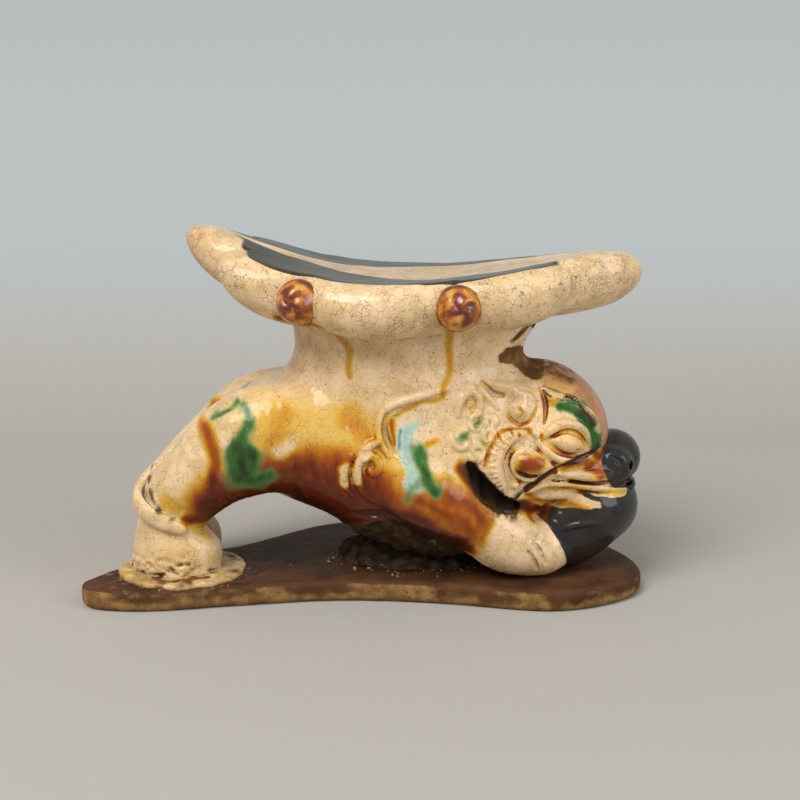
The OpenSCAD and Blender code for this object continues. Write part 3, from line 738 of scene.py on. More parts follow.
lumps = WIDE_LUMPS * grain(points, 15) + SMALL_LUMPS * grain(points, 6)
flaked_z = skin_z + 5 * grain(points, 5)
eroded = ease(skin_x, -48, -58) * ease(flaked_z, 14.6, 11.6)
pits = np.minimum(grain(points, 2.0), 0.05) + 0.7 * np.minimum(grain(points, 1.1), 0.1)
clay_gap = np.interp(skin_x, CLAY_AT, CLAY_TOP) - skin_z + 2.5 * grain(points + 150, 4)
clotted = ease(clay_gap, -0.8, 0.8) * on_piece("body") * ease(skin_x, -16, -11) * ease(skin_x, 46, 41)
clots = 1.6 * grain(points + 170, 3) + 0.8 * grain(points + 180, 1.4)
skin_points = points + normals * (lumps + PIT_DEPTH * eroded * pits + clotted * clots)[:, None]
print("hand lumps up to", round(float(np.abs(lumps).max()), 2), "mm")

# %% [markdown]
# ## From one skin to named pieces
# The skin is one smooth surface, but the lion was assembled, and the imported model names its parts. So
# each face goes to the form that lies nearest to it, and each part becomes a closed mesh of its own. The
# border of a part then follows the luted joint. A few sweeps in which each face joins its neighbours'
# majority take the ragged teeth off that border.

# %% Sorting the faces
PAIRED = ("foreleg", "forepaw", "eye", "brow", "ear", "lower_lip", "mane_curls", "shoulder_scroll")
SWEEPS, MAJORITY = 12, 3


def node_of(name, far):
    """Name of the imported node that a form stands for."""
    side = "far" if far else "near"
    if name == "body":
        return f"body_{side}_half"
    return f"{name}_{side}" if name in PAIRED else name


def neighbours_of(faces):
    """The face across each edge of every four-sided face."""
    edges = np.sort(np.stack([faces, np.roll(faces, -1, axis=1)], 2).reshape(-1, 2), axis=1)
    keys = edges[:, 0].astype(np.int64) * (faces.max() + 1) + edges[:, 1]
    order = np.argsort(keys, kind="stable")
    face = order // 4
    across = np.repeat(np.arange(len(faces)), 4)
    same = np.nonzero(keys[order][1:] == keys[order][:-1])[0]
    across[order[same]] = face[same + 1]
    across[order[same + 1]] = face[same]
    return across.reshape(-1, 4)


middles = points[quads].mean(1)
form_of_face = lion.owner[lion.cells_of(middles)]
labels = sorted({node_of(name, far) for name in lion.names for far in (False, True)})
lookup = np.array([[labels.index(node_of(name, far)) for far in (False, True)] for name in lion.names])
label = lookup[form_of_face, (middles[:, 1] > 0).astype(int)]
beside = neighbours_of(quads)
for sweep in range(SWEEPS):
    around = label[beside]
    for i in range(4):
        votes = (around == around[:, i:i + 1]).sum(1)
        label = np.where(votes >= MAJORITY, around[:, i], label)
print("faces by piece:", {n: int((label == i).sum()) for i, n in enumerate(labels)})

# %% [markdown]
# ## The glaze as three oxides
# The potter brushed three colours on a cream slip: iron gives yellow where it is thin, amber where it
# is thicker and red-brown where it gathers; copper gives green, and blue-green over white slip;
# manganese with cobalt gives the blue-black of the muzzle. A picture wrapped around the lion would
# smear at its edges. Instead, each oxide is a number on every point of the skin, brushed on in strokes
# seen from the side, and the finish turns its thickness into colour. Strokes wander a little, and the
# runny oxides wander more.

# %% Brushes
OXIDES = ("iron", "copper", "black", "blush", "bare", "teal", "soil")
RUNNY = ("copper", "teal")
WANDER, TREMBLE, RUN = 2.8, 0.3, (3.2, 2.4)


def drifted(first, second, size):
    """Random shifts of every point in x and z, from two places in the grain."""
    return np.stack([grain(points + first, size), grain(points + second, size)], 1)


oxides = {name: np.zeros(len(points)) for name in OXIDES}
shift = drifted(100, 200, 7) * WANDER
shift += drifted(300, 400, 2.4) * TREMBLE
seen = points[:, (0, 2)] + shift
run_spots = seen + drifted(900, 950, 4.5) * RUN
print("oxides to brush on:", list(oxides))


def line_gap(places, spots):
    """Distance of each spot, seen from the side, from a line through the places."""
    p = smooth_path(places, 4) if len(places) > 2 else np.array(places, float)
    gap = np.full(len(spots), 1e9)
    for a, b in zip(p, p[1:]):
        share = np.clip(((spots - a) @ (b - a)) / max((b - a) @ (b - a), 1e-6), 0, 1)
        gap = np.minimum(gap, np.linalg.norm(spots - a - share[:, None] * (b - a), axis=1))
    return gap


def brush(oxide, amount, radius, soft, *places):
    """Brushes an oxide on along a line; where coats meet they run together."""
    spots = run_spots if oxide in RUNNY else seen
    coat = amount * ease(line_gap(places, spots), radius + soft, max(radius - soft, 0))
    oxides[oxide] = np.cbrt(oxides[oxide] ** 3 + coat**3)


def wipe(oxide, radius, soft, *places):
    """Wipes an oxide off along a line."""
    oxides[oxide] *= 1 - ease(line_gap(places, seen), radius + soft, max(radius - soft, 0))


def cover(oxide, amount):
    """Raises an oxide to an amount wherever it is thinner."""
    oxides[oxide] = np.maximum(oxides[oxide], amount)


# %% Iron on the body
# A stroke is its amount, its radius, the half width of its soft edge and the places it goes through.
IRON_STROKES = {
    "honey wash along the back": (0.18, 9, 8, (-32, 58), (-12, 59), (-2, 57), (6, 50)),
    "wash over the eye": (0.10, 5, 3, (58, 55), (66, 54)),
    "pool under the left boss": (0.62, 1.0, 0.9, (-25.5, 91), (-20, 89.6), (-13, 89.4)),
    "run down the flank": (0.30, 4, 4, (-24, 61), (-27, 53), (-31, 45)),
    "run behind the scroll": (0.32, 4, 3.5, (-4, 60), (0, 56), (2, 52)),
    "upper belly": (0.70, 8.4, 6.4, (-45, 33), (-34, 38), (-20, 42), (-8, 43), (2, 38)),
    "middle belly": (0.84, 6, 6, (-47, 27), (-38, 31), (-26, 33), (-12, 33), (0, 29), (10, 26)),
    "lower belly": (0.86, 4, 4, (-26, 29), (-14, 27), (0, 22), (14, 18)),
    "stripe across the thigh": (0.55, 2.4, 2.2, (-48.5, 57), (-46.3, 52), (-45, 47), (-45.8, 41)),
    "front of the hock": (0.60, 3, 3, (-50, 27), (-47.2, 34), (-44, 41)),
    "stain on the hock": (0.28, 2.4, 3, (-62, 33), (-57, 31)),
    "wash on the hind foot": (0.11, 8, 7, (-65, 14), (-55, 15)),
    "pool at the tail's tip": (0.68, 1.8, 1.6, (-54.4, 26), (-51, 25.6)),
    "left run on the collar": (0.30, 1.1, 0.7, (-9.5, 87), (-4.6, 82), (-3.2, 76), (-3, 72)),
    "right run on the collar": (0.32, 1.2, 0.9, (25.9, 90), (25.6, 77), (24.7, 69)),
    "under the scroll's stem": (0.32, 0.6, 0.8, (24.7, 68.2), (18.7, 65.4), (11.2, 62), (8, 59)),
    "inside the scroll's bend": (0.52, 0.5, 1.5, (9.4, 60), (9.0, 56.5), (9.3, 53)),
    "dab on the shoulder": (0.34, 0.8, 1.2, (20, 53), (22.6, 54.6)),
    "foreleg, thin coat": (0.28, 8.6, 2.4, (9, 38), (20, 37), (29, 31.5), (33, 28.5)),
    "foreleg, second coat": (0.44, 6.0, 3.4, (9, 36), (20, 35), (29, 30), (33, 27)),
    "foreleg, upper edge": (0.40, 4, 2, (24, 41), (31, 36), (37, 31.5)),
    "foreleg, upper streak": (0.48, 1.0, 2.2, (25, 39.6), (31, 34.8), (35.6, 30.6)),
    "foreleg, middle streak": (0.48, 0.8, 2.2, (16, 36.5), (24, 33), (32, 27)),
    "foreleg, lower edge": (0.78, 3, 2.6, (6, 33), (17, 29), (28, 22), (31, 19)),
    "edge of the hollow": (0.66, 1.8, 1.4, (29.5, 46.5), (32.5, 42.5), (35, 38.5)),
    "outside of the fan": (0.45, 0.4, 0.9, (37.2, 46), (38.4, 50.2), (42.1, 55), (46.2, 56.9), (50, 56)),
    "ear": (0.60, 2.8, 1.8, (49.4, 45.4), (52.4, 45.4)),
    "cheek": (0.50, 2, 1.2, (63, 44.6), (70, 44.2), (74.4, 42.2)),
    "edge of the crown": (0.15, 0.8, 2.0, (55, 70.2), (60, 68.4), (65, 65.8)),
    "start of the brow": (0.32, 1.6, 1.2, (56, 65.6), (59, 64.4)),
}
for stroke in IRON_STROKES.values():
    brush("iron", *stroke)
wipe("iron", 2, 1.5, (-23, 52), (-25, 50.4))
wipe("iron", 7, 1.6, (44, 22), (52, 17), (58, 13))
print("iron:", len(IRON_STROKES), "strokes, wiped off a spot of the flank and off the paw")

# %% Iron around the mouth
MOUTH_STROKES = {
    "corner of the mouth": (0.80, 2.0, 1.6, (48, 31.6), (51.8, 30.6), (55, 28)),
    "upper lip": (0.26, 1.0, 1.0, (58, 38.4), (66, 37.4), (75.7, 35.2), (83, 34.2)),
    "lower lip": (0.42, 0.8, 1.4, (51, 35.4), (57, 32), (64, 31), (71, 29.2)),
    # Beside the nose the dark iron is partly glaze and partly painted shade from the nose.
    "beside the nose": (0.60, 1.4, 1.4, (71.4, 48.8), (73.6, 46.4)),
}
for stroke in MOUTH_STROKES.values():
    brush("iron", *stroke)
wipe("iron", 2, 1, (-5.2, 45.5), (-5.4, 41))
wipe("iron", 1.6, 0.8, (1.9, 52.2), (-1.3, 47), (-1.5, 42))
print("mouth:", len(MOUTH_STROKES), "strokes, with the scroll's leaves wiped clean")

# %% Copper and teal
PATCH_STROKES = {
    "patch on the haunch": (0.88, 4.4, 4.4, (-35.8, 50), (-37, 47.4), (-37.2, 44.4)),
    "its lower tongue": (0.70, 1.2, 3.4, (-35, 41.6), (-31.4, 40), (-28, 42)),
    "its upper run": (0.62, 1.2, 3.4, (-34, 52), (-34.4, 58), (-36, 62)),
    "line beside the tail": (0.55, 1.0, 1, (-46, 59.5), (-38, 64.2)),
}
SHOULDER_STROKES = {
    "run on the shoulder": (0.72, 1.4, 3.0, (16.9, 51), (17.6, 46), (19, 42.6), (21.4, 40.8)),
    "right toe of the run": (0.42, 0.6, 2.6, (20, 40.6), (23.4, 42)),
    "left toe of the run": (0.40, 0.6, 2.6, (13, 37.4), (16.4, 40.4)),
    "left curl": (0.48, 2.2, 1.8, (29.9, 54), (31.4, 54.6)),
    "upper curl": (0.46, 1.9, 1.6, (34.6, 58.6), (35.4, 59)),
    "lower curls": (0.26, 2.0, 1.8, (37.8, 54.4), (34.3, 50.4)),
    "brow": (0.66, 1.9, 1.0, (59, 63.2), (63.8, 62.2), (68, 59.6), (71.2, 54.8), (72.2, 51.4)),
    "upper lid": (0.30, 1.4, 1, (66, 56.2), (69, 52.4)),
}
TEAL_STROKES = {
    "run on the shoulder": (0.56, 1.2, 3.0, (14.6, 58), (14, 54), (13.6, 49), (14.6, 44), (16.4, 40.6)),
    "its dark left edge": (0.95, 0.1, 1.7, (11.8, 57.4), (11.2, 55), (11.4, 52.4)),
}
for stroke in PATCH_STROKES.values():
    brush("copper", *stroke)
wipe("copper", 3, 1.5, (-41, 57.6), (-42.4, 55))
for stroke in SHOULDER_STROKES.values():
    brush("copper", *stroke)
for stroke in TEAL_STROKES.values():
    brush("teal", *stroke)
print("copper:", len(PATCH_STROKES) + len(SHOULDER_STROKES), "strokes, teal:", len(TEAL_STROKES))

# %% Black of nose and jaw
JAW_EDGE, JAW_EDGE_RISE = 30.0, 3.8
BEARD_PLACE, BEARD_REACH = (53, 29), (8, 3)
folded = np.stack([skin_x, -np.abs(skin_y), skin_z])


def gap_to(form):
    """Distance of every point from a form, with the far side folded onto the near one."""
    return form[0](*folded)


brush("black", 0.70, 0.3, 0.5, (64.6, 50.6), (65, 50.5))
brush("black", 1, 6.8, 0.9, (80.8, 46.4), (82.4, 42.6), (84.4, 39.4))
jaw_gap = np.minimum(gap_to(ball(*LOWER_JAW)), gap_to(ball(*CHIN)))
clear_of_paw = ease(gap_to(limb(FOREPAW)) - jaw_gap, -0.3, 0.5)
jaw = clear_of_paw * ease(jaw_gap, 2.6, 1.8) * on_piece("lower_jaw", "lower_lip", "forepaw")
jaw_edge = JAW_EDGE + JAW_EDGE_RISE * ease(skin_x, 70, 76)
cover("black", jaw * ease(seen[:, 1] - jaw_edge, 1.2, -1.2))
cover("black", ease(skin_x, 73, 76) * on_piece("nose"))
brush("black", 1, 0.7, 0.5, (69, 34.4), (74, 33.4), (80, 33))
wipe("black", 1.3, 0.8, (58, 34.4), (64, 33.6), (67.5, 32.7))
wipe("black", 0.7, 0.9, (67, 33), (71, 32), (73.6, 31.4))
beard = jaw * ease(np.hypot(skin_x - BEARD_PLACE[0], skin_z - BEARD_PLACE[1]), *BEARD_REACH)
oxides["black"] *= 1 - 0.75 * beard
cover("iron", 0.85 * beard)
wipe("black", 1.2, 0.5, (56, 38.5), (66, 37.6), (76, 35.4), (83, 34.2))
print("black on nose and jaw:", int((oxides["black"] > 0.5).sum()), "points")

# %% Black ring in the dish
RING_REACH, RING_SOFT = 0.865, 0.84
RING_AMOUNT = 0.96
WEDGE_MIDDLE = 1.5
WEDGE_AT, WEDGE_HALF = (-50, -34, -18, 0, 20, 45, 62, 80), (1.6, 2.2, 5, 12, 18.5, 19, 14, 5)
LEFT_TIP, RIGHT_TIP, NEAR_SHIFT = -46, 76, (10, 16)

reach = rest_place(skin_x, skin_y)[0]
on_top = on_piece("headrest")
wave = 0.05 * grain(points + 500, 14) + 0.03 * grain(points + 600, 5)
along, aside = skin_x + 7 * grain(points + 800, 9), skin_y + 4 * grain(points + 820, 12)
wedge_gap = np.abs(aside - WEDGE_MIDDLE) - np.interp(along, WEDGE_AT, WEDGE_HALF)
nearer = ease(skin_y, 3, -3)
left_tip, right_tip = LEFT_TIP + NEAR_SHIFT[0] * nearer, RIGHT_TIP - NEAR_SHIFT[1] * nearer
tips = ease(along, left_tip - 3, left_tip + 3) * ease(along, right_tip + 4, right_tip - 4)
oval = np.hypot((skin_x - REST_MIDDLE) / REST_LONG, skin_y / REST_DEEP)
ring = ease(0.5 * (reach + oval) + wave, RING_REACH, RING_SOFT) * ease(wedge_gap, -0.8, 0.8) * tips
ring *= ease(normals[:, 2], 0.25, 0.6) * on_top
cover("black", RING_AMOUNT * ring)
print("ring in the dish:", int((ring > 0.5).sum()), "points")

# %% Blush and bare clay
BARE_STROKES = {
    "seat of the collar": (1.10, 3.4, 1.2, (44.4, 77.4), (48, 76.6), (53, 73.8)),
    "worn crown": (0.50, 1.0, 2.4, (54, 73.6), (60, 71.8), (65, 68.8)),
    "scar under the rim": (0.95, 0.9, 0.8, (46, 83), (52.2, 86.2), (62.5, 89)),
}
for stroke in BARE_STROKES.values():
    brush("bare", *stroke)
cover("bare", ease(skin_z, SLAB_TOP + 1.2, SLAB_TOP + 0.2))
cover("blush", 0.9 * on_piece("forehead_band") * ease(skin_x, 54, 60))
cover("blush", 0.35 * ease(skin_x, -40, -56) * on_top)
cover("blush", 0.30 * ease(reach, 0.62, 0.5) * ease(normals[:, 2], 0.3, 0.7) * on_top)
print("bare clay:", len(BARE_STROKES), "strokes and the line above the slab")

# %% Soil and painted shade in the deep places
SOIL_AND_SHADE_STROKES = {
    # The hollow behind the mane is painted near black: partly soil, partly painted shade.
    "hollow behind the mane": (
        0.80, 2.2, 2.4, (32.6, 45.8), (35, 41.2), (38.2, 36.6), (42.2, 33), (48, 30.6),
    ),
    "beaded border": (
        0.62, 0.4, 0.6, (55.4, 67.6), (58.8, 66.4), (63, 64.8), (66.8, 62.4), (69.8, 59), (72.2, 54.6),
    ),
    # The crease of the cheek is partly painted shade.
    "crease of the cheek": (0.80, 0.5, 0.9, *CREASE),
}
TAIL_LINE = [(-67, 40.4), (-68.1, 36), (-66.4, 31.8), (-62.6, 29.2), (-58.6, 26.8)]
FOOT_LINE = 9.2

for stroke in SOIL_AND_SHADE_STROKES.values():
    brush("soil", *stroke)
for line in TOES:
    brush("soil", 0.52, 0.1, 0.4, *line)
for line in fan_ribs:
    brush("soil", 0.40, 0.1, 0.4, *line)
# Painted shadow in the groove between the tail and the thigh.
cover("soil", 0.44 * (skin_y < 0) * ease(line_gap(TAIL_LINE, seen), 1.3, 0.2))
# Painted shade where the hollow runs on towards the corner of the mouth.
brush("soil", 0.72, 1.0, 1.6, (45.6, 31.8), (50.8, 30.8))
cover("soil", 0.46 * eroded * ease(pits, -0.08, -0.32))
foot_line = ease(np.abs(skin_z - FOOT_LINE), 0.9, 0.3) * on_piece("hind_foot_near", "hind_foot_far")
cover("soil", 0.50 * foot_line * ease(grain(points + 700, 5), -0.35, 0.1))
# The dug hollow is painted near black: partly soil, partly painted shade.
cover("soil", ease(np.minimum.reduce([gap_to(cut_form) for cut_form in recess_cuts]), 1.8, -0.6))
# Below the foreleg the rough clay is painted near black: dark clay and painted shadow under the foreleg.
cover("soil", clotted * (0.92 + 0.6 * grain(points + 190, 2.5)))
print("soil:", int((oxides["soil"] > 0.5).sum()), "points")

# %% Underside, pools and face
POOL_DEPTH = 1.3
SHADE_DEPTH = 3 * POOL_DEPTH
FACE_FORMS = ("skull", "upper_jaw", "eye", "brow", "ear", "upper_lip", "lower_lip", "mane_curls")
RELIEF_STAIN, CLEAN_SHARE = 0.40, 0.62


def hollowness(depth):
    """How far the clay closes in on each point: 0 on a flat place, 1 in a narrow groove."""
    return np.clip(1 - lion.sample(points + depth * normals) / depth, 0, 1)


underside = ease(normals[:, 2], -0.35, -0.75) * (skin_z < 40) * on_piece("body", "foreleg")
cover("iron", underside * ease(skin_x, -30, -20) * ease(skin_x, 48, 40))
# Pool: how narrow a groove is, for the pooled iron and a darker colour in the narrowest grooves. Shade: how
# closed in a hollow is, for painted shade.
oxides["pool"] = hollowness(POOL_DEPTH)
oxides["shade"] = hollowness(SHADE_DEPTH)
clean_comma = CLEAN_SHARE * ease(skin_z, 56.5, 60) * ease(skin_x, 57, 54.5)
face = ease(skin_x, 38, 44) * on_piece(*FACE_FORMS) * (1 - clean_comma)
oxides["face"] = np.maximum(face, RELIEF_STAIN * on_piece("shoulder_scroll", "mane_curls"))
print("oxides:", {k: round(float(v.mean()), 3) for k, v in oxides.items()})

# %% [markdown]
# ## Finishes
# A finish is a small net of nodes. Wiring it node by node hides the maths, so one class wraps a socket
# and turns Python's operators into Math nodes, and one method adds any other node.


# %% A wire and a net
class Wire:
    """A value, colour or vector in a net of nodes; arithmetic on values adds Math nodes."""

    def __init__(self, net, socket):
        self.net, self.socket = net, socket

    def maths(self, operation, first, second=0.0):
        return self.net.node("ShaderNodeMath", {"operation": operation}, {0: first, 1: second})

    def __add__(self, other):
        return self.maths("ADD", self, other)

    def __radd__(self, other):
        return self.maths("ADD", other, self)

    def __sub__(self, other):
        return self.maths("SUBTRACT", self, other)

    def __rsub__(self, other):
        return self.maths("SUBTRACT", other, self)

    def __mul__(self, other):
        return self.maths("MULTIPLY", self, other)

    def __rmul__(self, other):
        return self.maths("MULTIPLY", other, self)

    def __pow__(self, other):
        return self.maths("POWER", self, other)

    def most(self, other):
        """The larger of two values."""
        return self.maths("MAXIMUM", self, other)

    def sine(self):
        return self.maths("SINE", self)

    def rise(self, low, high):
        """Runs from 0 at low to 1 at high with soft ends; low may lie above high."""
        sockets = {"Value": self, "From Min": min(low, high), "From Max": max(low, high)}
        if low > high:
            sockets |= {"To Min": 1.0, "To Max": 0.0}
        return self.net.node("ShaderNodeMapRange", {"interpolation_type": "SMOOTHSTEP"}, sockets)


class Net:
    """A tree of nodes under construction."""

    def __init__(self, tree):
        self.tree = tree

    def node(self, kind, settings=None, sockets=None, out=0):
        """Adds a node: its type, its settings, then the values or links of its sockets."""
        made = self.tree.nodes.new(kind)
        for key, value in (settings or {}).items():
            if key == "stops":
                self.fill_ramp(made.color_ramp, value)
            else:
                setattr(made, key, value)
        for key, value in (sockets or {}).items():
            self.plug(made.inputs[key], value)
        return Wire(self, made.outputs[out])

    def fill_ramp(self, ramp, stops):
        """Gives a ramp its stops: a place and a colour each."""
        while len(ramp.elements) < len(stops):
            ramp.elements.new(1.0)
        for element, (place, colour) in zip(ramp.elements, stops):
            element.position = place
            element.color = (*colour, 1)

    def plug(self, socket, value):
        """Links a wire to a socket, or sets the socket's value."""
        if isinstance(value, Wire):
            self.tree.links.new(value.socket, socket)
        elif socket.type == "RGBA":
            socket.default_value = (*value, 1)
        else:
            socket.default_value = value


# %% A finish
class Finish(Net):
    """A material whose patterns are measured in millimetres on the object."""

    def __init__(self, name):
        self.material = bpy.data.materials.new(name)
        self.material.use_nodes = True
        super().__init__(self.material.node_tree)
        self.shader = self.tree.nodes["Principled BSDF"]
        place = self.node("ShaderNodeTexCoord", out="Object")
        self.mm = self.node("ShaderNodeVectorMath", {"operation": "SCALE"}, {0: place, "Scale": 1 / MM})

    def height(self):
        """Height above the ground."""
        return self.node("ShaderNodeSeparateXYZ", {}, {0: self.mm}, 2)

    def stretched(self, shares):
        """The place on the object, with each axis scaled by a share."""
        return self.node("ShaderNodeVectorMath", {"operation": "MULTIPLY"}, {0: self.mm, 1: shares})

    def noise(self, size, detail=2.0, vector=None, out=0):
        """Smooth noise whose lumps are about size millimetres."""
        sockets = {"Vector": vector or self.mm, "Scale": 1 / size, "Detail": detail}
        return self.node("ShaderNodeTexNoise", {}, sockets, out)

    def cells(self, size, feature="F1", vector=None):
        """Distances in cells of about size millimetres, from their middles or from their edges."""
        sockets = {"Vector": vector or self.mm, "Scale": 1 / size}
        return self.node("ShaderNodeTexVoronoi", {"feature": feature}, sockets)

    def amount(self, name):
        """A value that the mesh holds on every point."""
        return self.node("ShaderNodeAttribute", {"attribute_name": name}, out="Fac")

    def mix(self, share, first, second):
        """Goes from the first colour to the second."""
        return self.node("ShaderNodeMix", {"data_type": "RGBA"}, {0: share, 6: first, 7: second}, 2)

    def ramp(self, share, *stops):
        """A colour that runs through the stops."""
        return self.node("ShaderNodeValToRGB", {"stops": stops}, {"Fac": share})

    def bump(self, height, depth):
        """Raises the shading by depth millimetres where height is 1."""
        sockets = {"Height": height, "Strength": 1.0, "Distance": depth * MM}
        self.plug(self.shader.inputs["Normal"], self.node("ShaderNodeBump", {}, sockets))

    def surface(self, colour, roughness, sockets=None):
        """Ends the finish: its colour, its roughness and any other sockets of the shader."""
        given = {"Base Color": colour, "Roughness": roughness} | (sockets or {})
        for name, value in given.items():
            self.plug(self.shader.inputs[name], value)
        return self.material


# %% [markdown]
# ## The glaze
# Thin iron is straw yellow, thick iron is red-brown; thin copper is mint, thick copper bottle green.
# Ramps give these colours by thickness. Old glaze is crazed: a fine net of cracks that hold dirt.
# Voronoi edges draw such a net, once in wide cells and once in small ones that come and go. The
# narrowest grooves are darkened, and the wider hollows get painted shade. Soil, which carries painted
# shade in the deep places as well, and bare clay come last, because they lie on the glaze or break
# through it, and they take its gloss away.

# %% Colours of the glaze
PALE_SLIP, WARM_SLIP = (0.80, 0.57, 0.335), (0.66, 0.45, 0.215)
SALMON = (0.41, 0.165, 0.058)
BLUE_BLACK, OLIVE_BLACK = (0.014, 0.016, 0.021), (0.034, 0.027, 0.017)
# The dirt colour also serves as painted shade in hollows, and the soil colour as painted shade in the deep
# places.
DIRT_AND_SHADE, SOIL_AND_SHADE = (0.075, 0.042, 0.020), (0.026, 0.014, 0.007)
BARE_CLAY, BROWN_STAIN = (0.21, 0.105, 0.038), (0.115, 0.055, 0.019)
IRON_STOPS = [
    (0.0, (0.70, 0.47, 0.17)), (0.22, (0.63, 0.37, 0.055)), (0.36, (0.52, 0.20, 0.006)),
    (0.52, (0.32, 0.066, 0.002)), (0.72, (0.14, 0.018, 0.0015)), (1.0, (0.045, 0.007, 0.001)),
]
COPPER_STOPS = [
    (0.0, (0.40, 0.38, 0.14)), (0.30, (0.13, 0.25, 0.075)), (0.55, (0.042, 0.15, 0.028)),
    (0.8, (0.020, 0.064, 0.009)), (1.0, (0.006, 0.022, 0.004)),
]
TEAL_STOPS = [
    (0.0, (0.62, 0.62, 0.42)), (0.45, (0.36, 0.54, 0.46)), (0.75, (0.16, 0.29, 0.28)),
    (1.0, (0.05, 0.11, 0.13)),
]
REST_HEIGHTS = (82, 90)


# %% Glaze
def crackle(f, grime):
    """A net of dirty cracks, fullest on the headrest: wide cells all over, small ones in patches."""
    bend = {0: f.noise(5, 3, out=1), 1: (1.6,) * 3, 2: f.mm}
    bent = f.node("ShaderNodeVectorMath", {"operation": "MULTIPLY_ADD"}, bend)
    broken, patch = f.noise(2.8, 2).rise(0.42, 0.58), f.noise(14, 2).rise(0.40, 0.62)
    wide = f.cells(1.9, "DISTANCE_TO_EDGE", bent).rise(0.045, 0.012) * (0.12 + 0.7 * broken)
    small = f.cells(0.85, "DISTANCE_TO_EDGE", bent).rise(0.09, 0.025) * patch * grime * 0.8
    return 0.85 * wide.most(small) * (0.72 + 0.28 * f.height().rise(*REST_HEIGHTS))


def coloured_coats(f, mottle):
    """The cream slip under its coats of oxide; gives the colour, the iron and the black."""
    streak = f.noise(2.4, 3, f.stretched((1, 1, 0.3)))
    slip = f.mix(mottle.rise(0.32, 0.68), PALE_SLIP, WARM_SLIP)
    body = f.mix(f.amount("blush") * (0.75 + 0.5 * mottle), slip, SALMON)
    stain = f.amount("pool").rise(0.06, 0.55) * f.amount("face") * (0.5 + 0.5 * streak)
    iron = f.amount("iron") * (0.72 + 0.56 * streak) + 0.9 * stain
    body = f.mix(iron.rise(0.03, 0.20), body, f.ramp(iron, *IRON_STOPS))
    teal = f.amount("teal") * (0.6 + 0.7 * streak)
    body = f.mix(teal.rise(0.05, 0.45) * 0.9, body, f.ramp(teal, *TEAL_STOPS))
    copper = f.amount("copper") * (0.45 + 1.05 * streak)
    body = f.mix(copper.rise(0.02, 0.60), body, f.ramp(copper, *COPPER_STOPS))
    black = (f.amount("black") + 0.25 * (mottle - 0.5)).rise(0.30, 0.70)
    olive = mottle.rise(0.3, 0.7).most(f.height().rise(*REST_HEIGHTS))
    return f.mix(black, body, f.mix(olive, BLUE_BLACK, OLIVE_BLACK)), iron, black


def three_colour_glaze():
    """Lead glaze over cream slip, coloured by the oxides on the mesh, with painted shade in its hollows and
    grooves.
    """
    f = Finish("three_colour_glaze")
    mottle, grime = f.noise(6, 4), f.noise(3.5, 2).rise(0.30, 0.65)
    cracks = crackle(f, grime)
    specks = f.cells(2.6).rise(0.13, 0.06) * f.noise(2.2, 1).rise(0.49, 0.57)
    body, iron, black = coloured_coats(f, mottle)
    # Darker in the narrowest grooves.
    body = f.mix(f.amount("pool").rise(0.45, 1.0) * 0.75, body, DIRT_AND_SHADE)
    # Painted shade in the wider hollows.
    body = f.mix(f.amount("shade").rise(0.55, 1.0) * 0.7, body, DIRT_AND_SHADE)
    body = f.mix(cracks * (1 - 0.8 * black) * (1 - 0.6 * iron.rise(0.3, 0.6)), body, DIRT_AND_SHADE)
    body = f.mix(specks * 0.85, body, DIRT_AND_SHADE)
    # Soil, with painted shade in the deep places: near black and matt.
    soil = (f.amount("soil") + 0.5 * (grime - 0.5)).rise(0.25, 0.8)
    body = f.mix(soil, body, f.mix(grime * 0.7, SOIL_AND_SHADE, DIRT_AND_SHADE))
    worn = f.amount("bare")
    bare = (worn + 0.5 * (mottle - 0.5) + 0.7 * (grime - 0.5) * worn).rise(0.15, 0.80)
    body = f.mix(bare, body, f.mix(grime, BARE_CLAY, BROWN_STAIN))
    f.bump(f.noise(1.6, 3) * 0.5 - 0.4 * cracks - 0.8 * specks, 0.10)
    dull = soil.most(bare)
    return f.surface(body, 0.30 + 0.14 * mottle + 0.45 * dull, {
        "Coat Weight": 0.42 * (1 - dull), "Coat Roughness": 0.08, "Specular IOR Level": 0.1,
    })


glaze = three_colour_glaze()
print("finish:", glaze.name, len(glaze.node_tree.nodes), "nodes")

# %% [markdown]
# ## Cutting the skin into pieces
# Each piece takes its faces, and its open border is turned inwards and closed below the surface, as
# a pressed-on piece of clay has a back of its own. All pieces keep the normals of the whole skin, so no
# seam shows where two of them meet.

# %% Borders and backs
BACK_DEPTH, BACK_SHARE, BACK_STEPS = 1.4, 0.18, 48
# Backs take the full soil colour, near black: painted shade where a back shows through a gap.
BACK_AMOUNTS = {"soil": 1.2}


def vertex_normals(places, faces):
    """Outward normals of a mesh of four-sided faces."""
    a, b, c, d = (places[faces[:, i]] for i in range(4))
    flat = np.cross(c - a, d - b)
    total = np.zeros_like(places)
    for i in range(4):
        np.add.at(total, faces[:, i], flat)
    return total / (np.linalg.norm(total, axis=1)[:, None] + 1e-12)


def border_loops(faces):
    """Closed rings of points along the open border, in the order of the faces."""
    count = faces.max() + 1
    start, end = faces.ravel(), np.roll(faces, -1, axis=1).ravel()
    open_edge = ~np.isin(start * count + end, end * count + start)
    following = {}
    for a, b in zip(start[open_edge].tolist(), end[open_edge].tolist()):
        following.setdefault(a, []).append(b)
    loops = []
    while following:
        first = next(iter(following))
        ring, here = [], first
        while here in following:
            ring.append(here)
            onward = following[here].pop()
            if not following[here]:
                del following[here]
            here = onward
            if here == first:
                break
        loops.append(ring)
    return loops


def sunk(place, depth):
    """Moves a place inwards until it lies well inside the clay."""
    here = place[None]
    for step in range(BACK_STEPS):
        if lion.sample(here)[0] < -depth:
            break
        here = here - lion.step * lion.outward(here)
    return here[0]


# %% Pieces of the lion
SLOT_OF = {"foreleg": "amber_glaze", "brow": "green_glaze", "nose": "black_glaze", "lower_jaw": "black_glaze"}


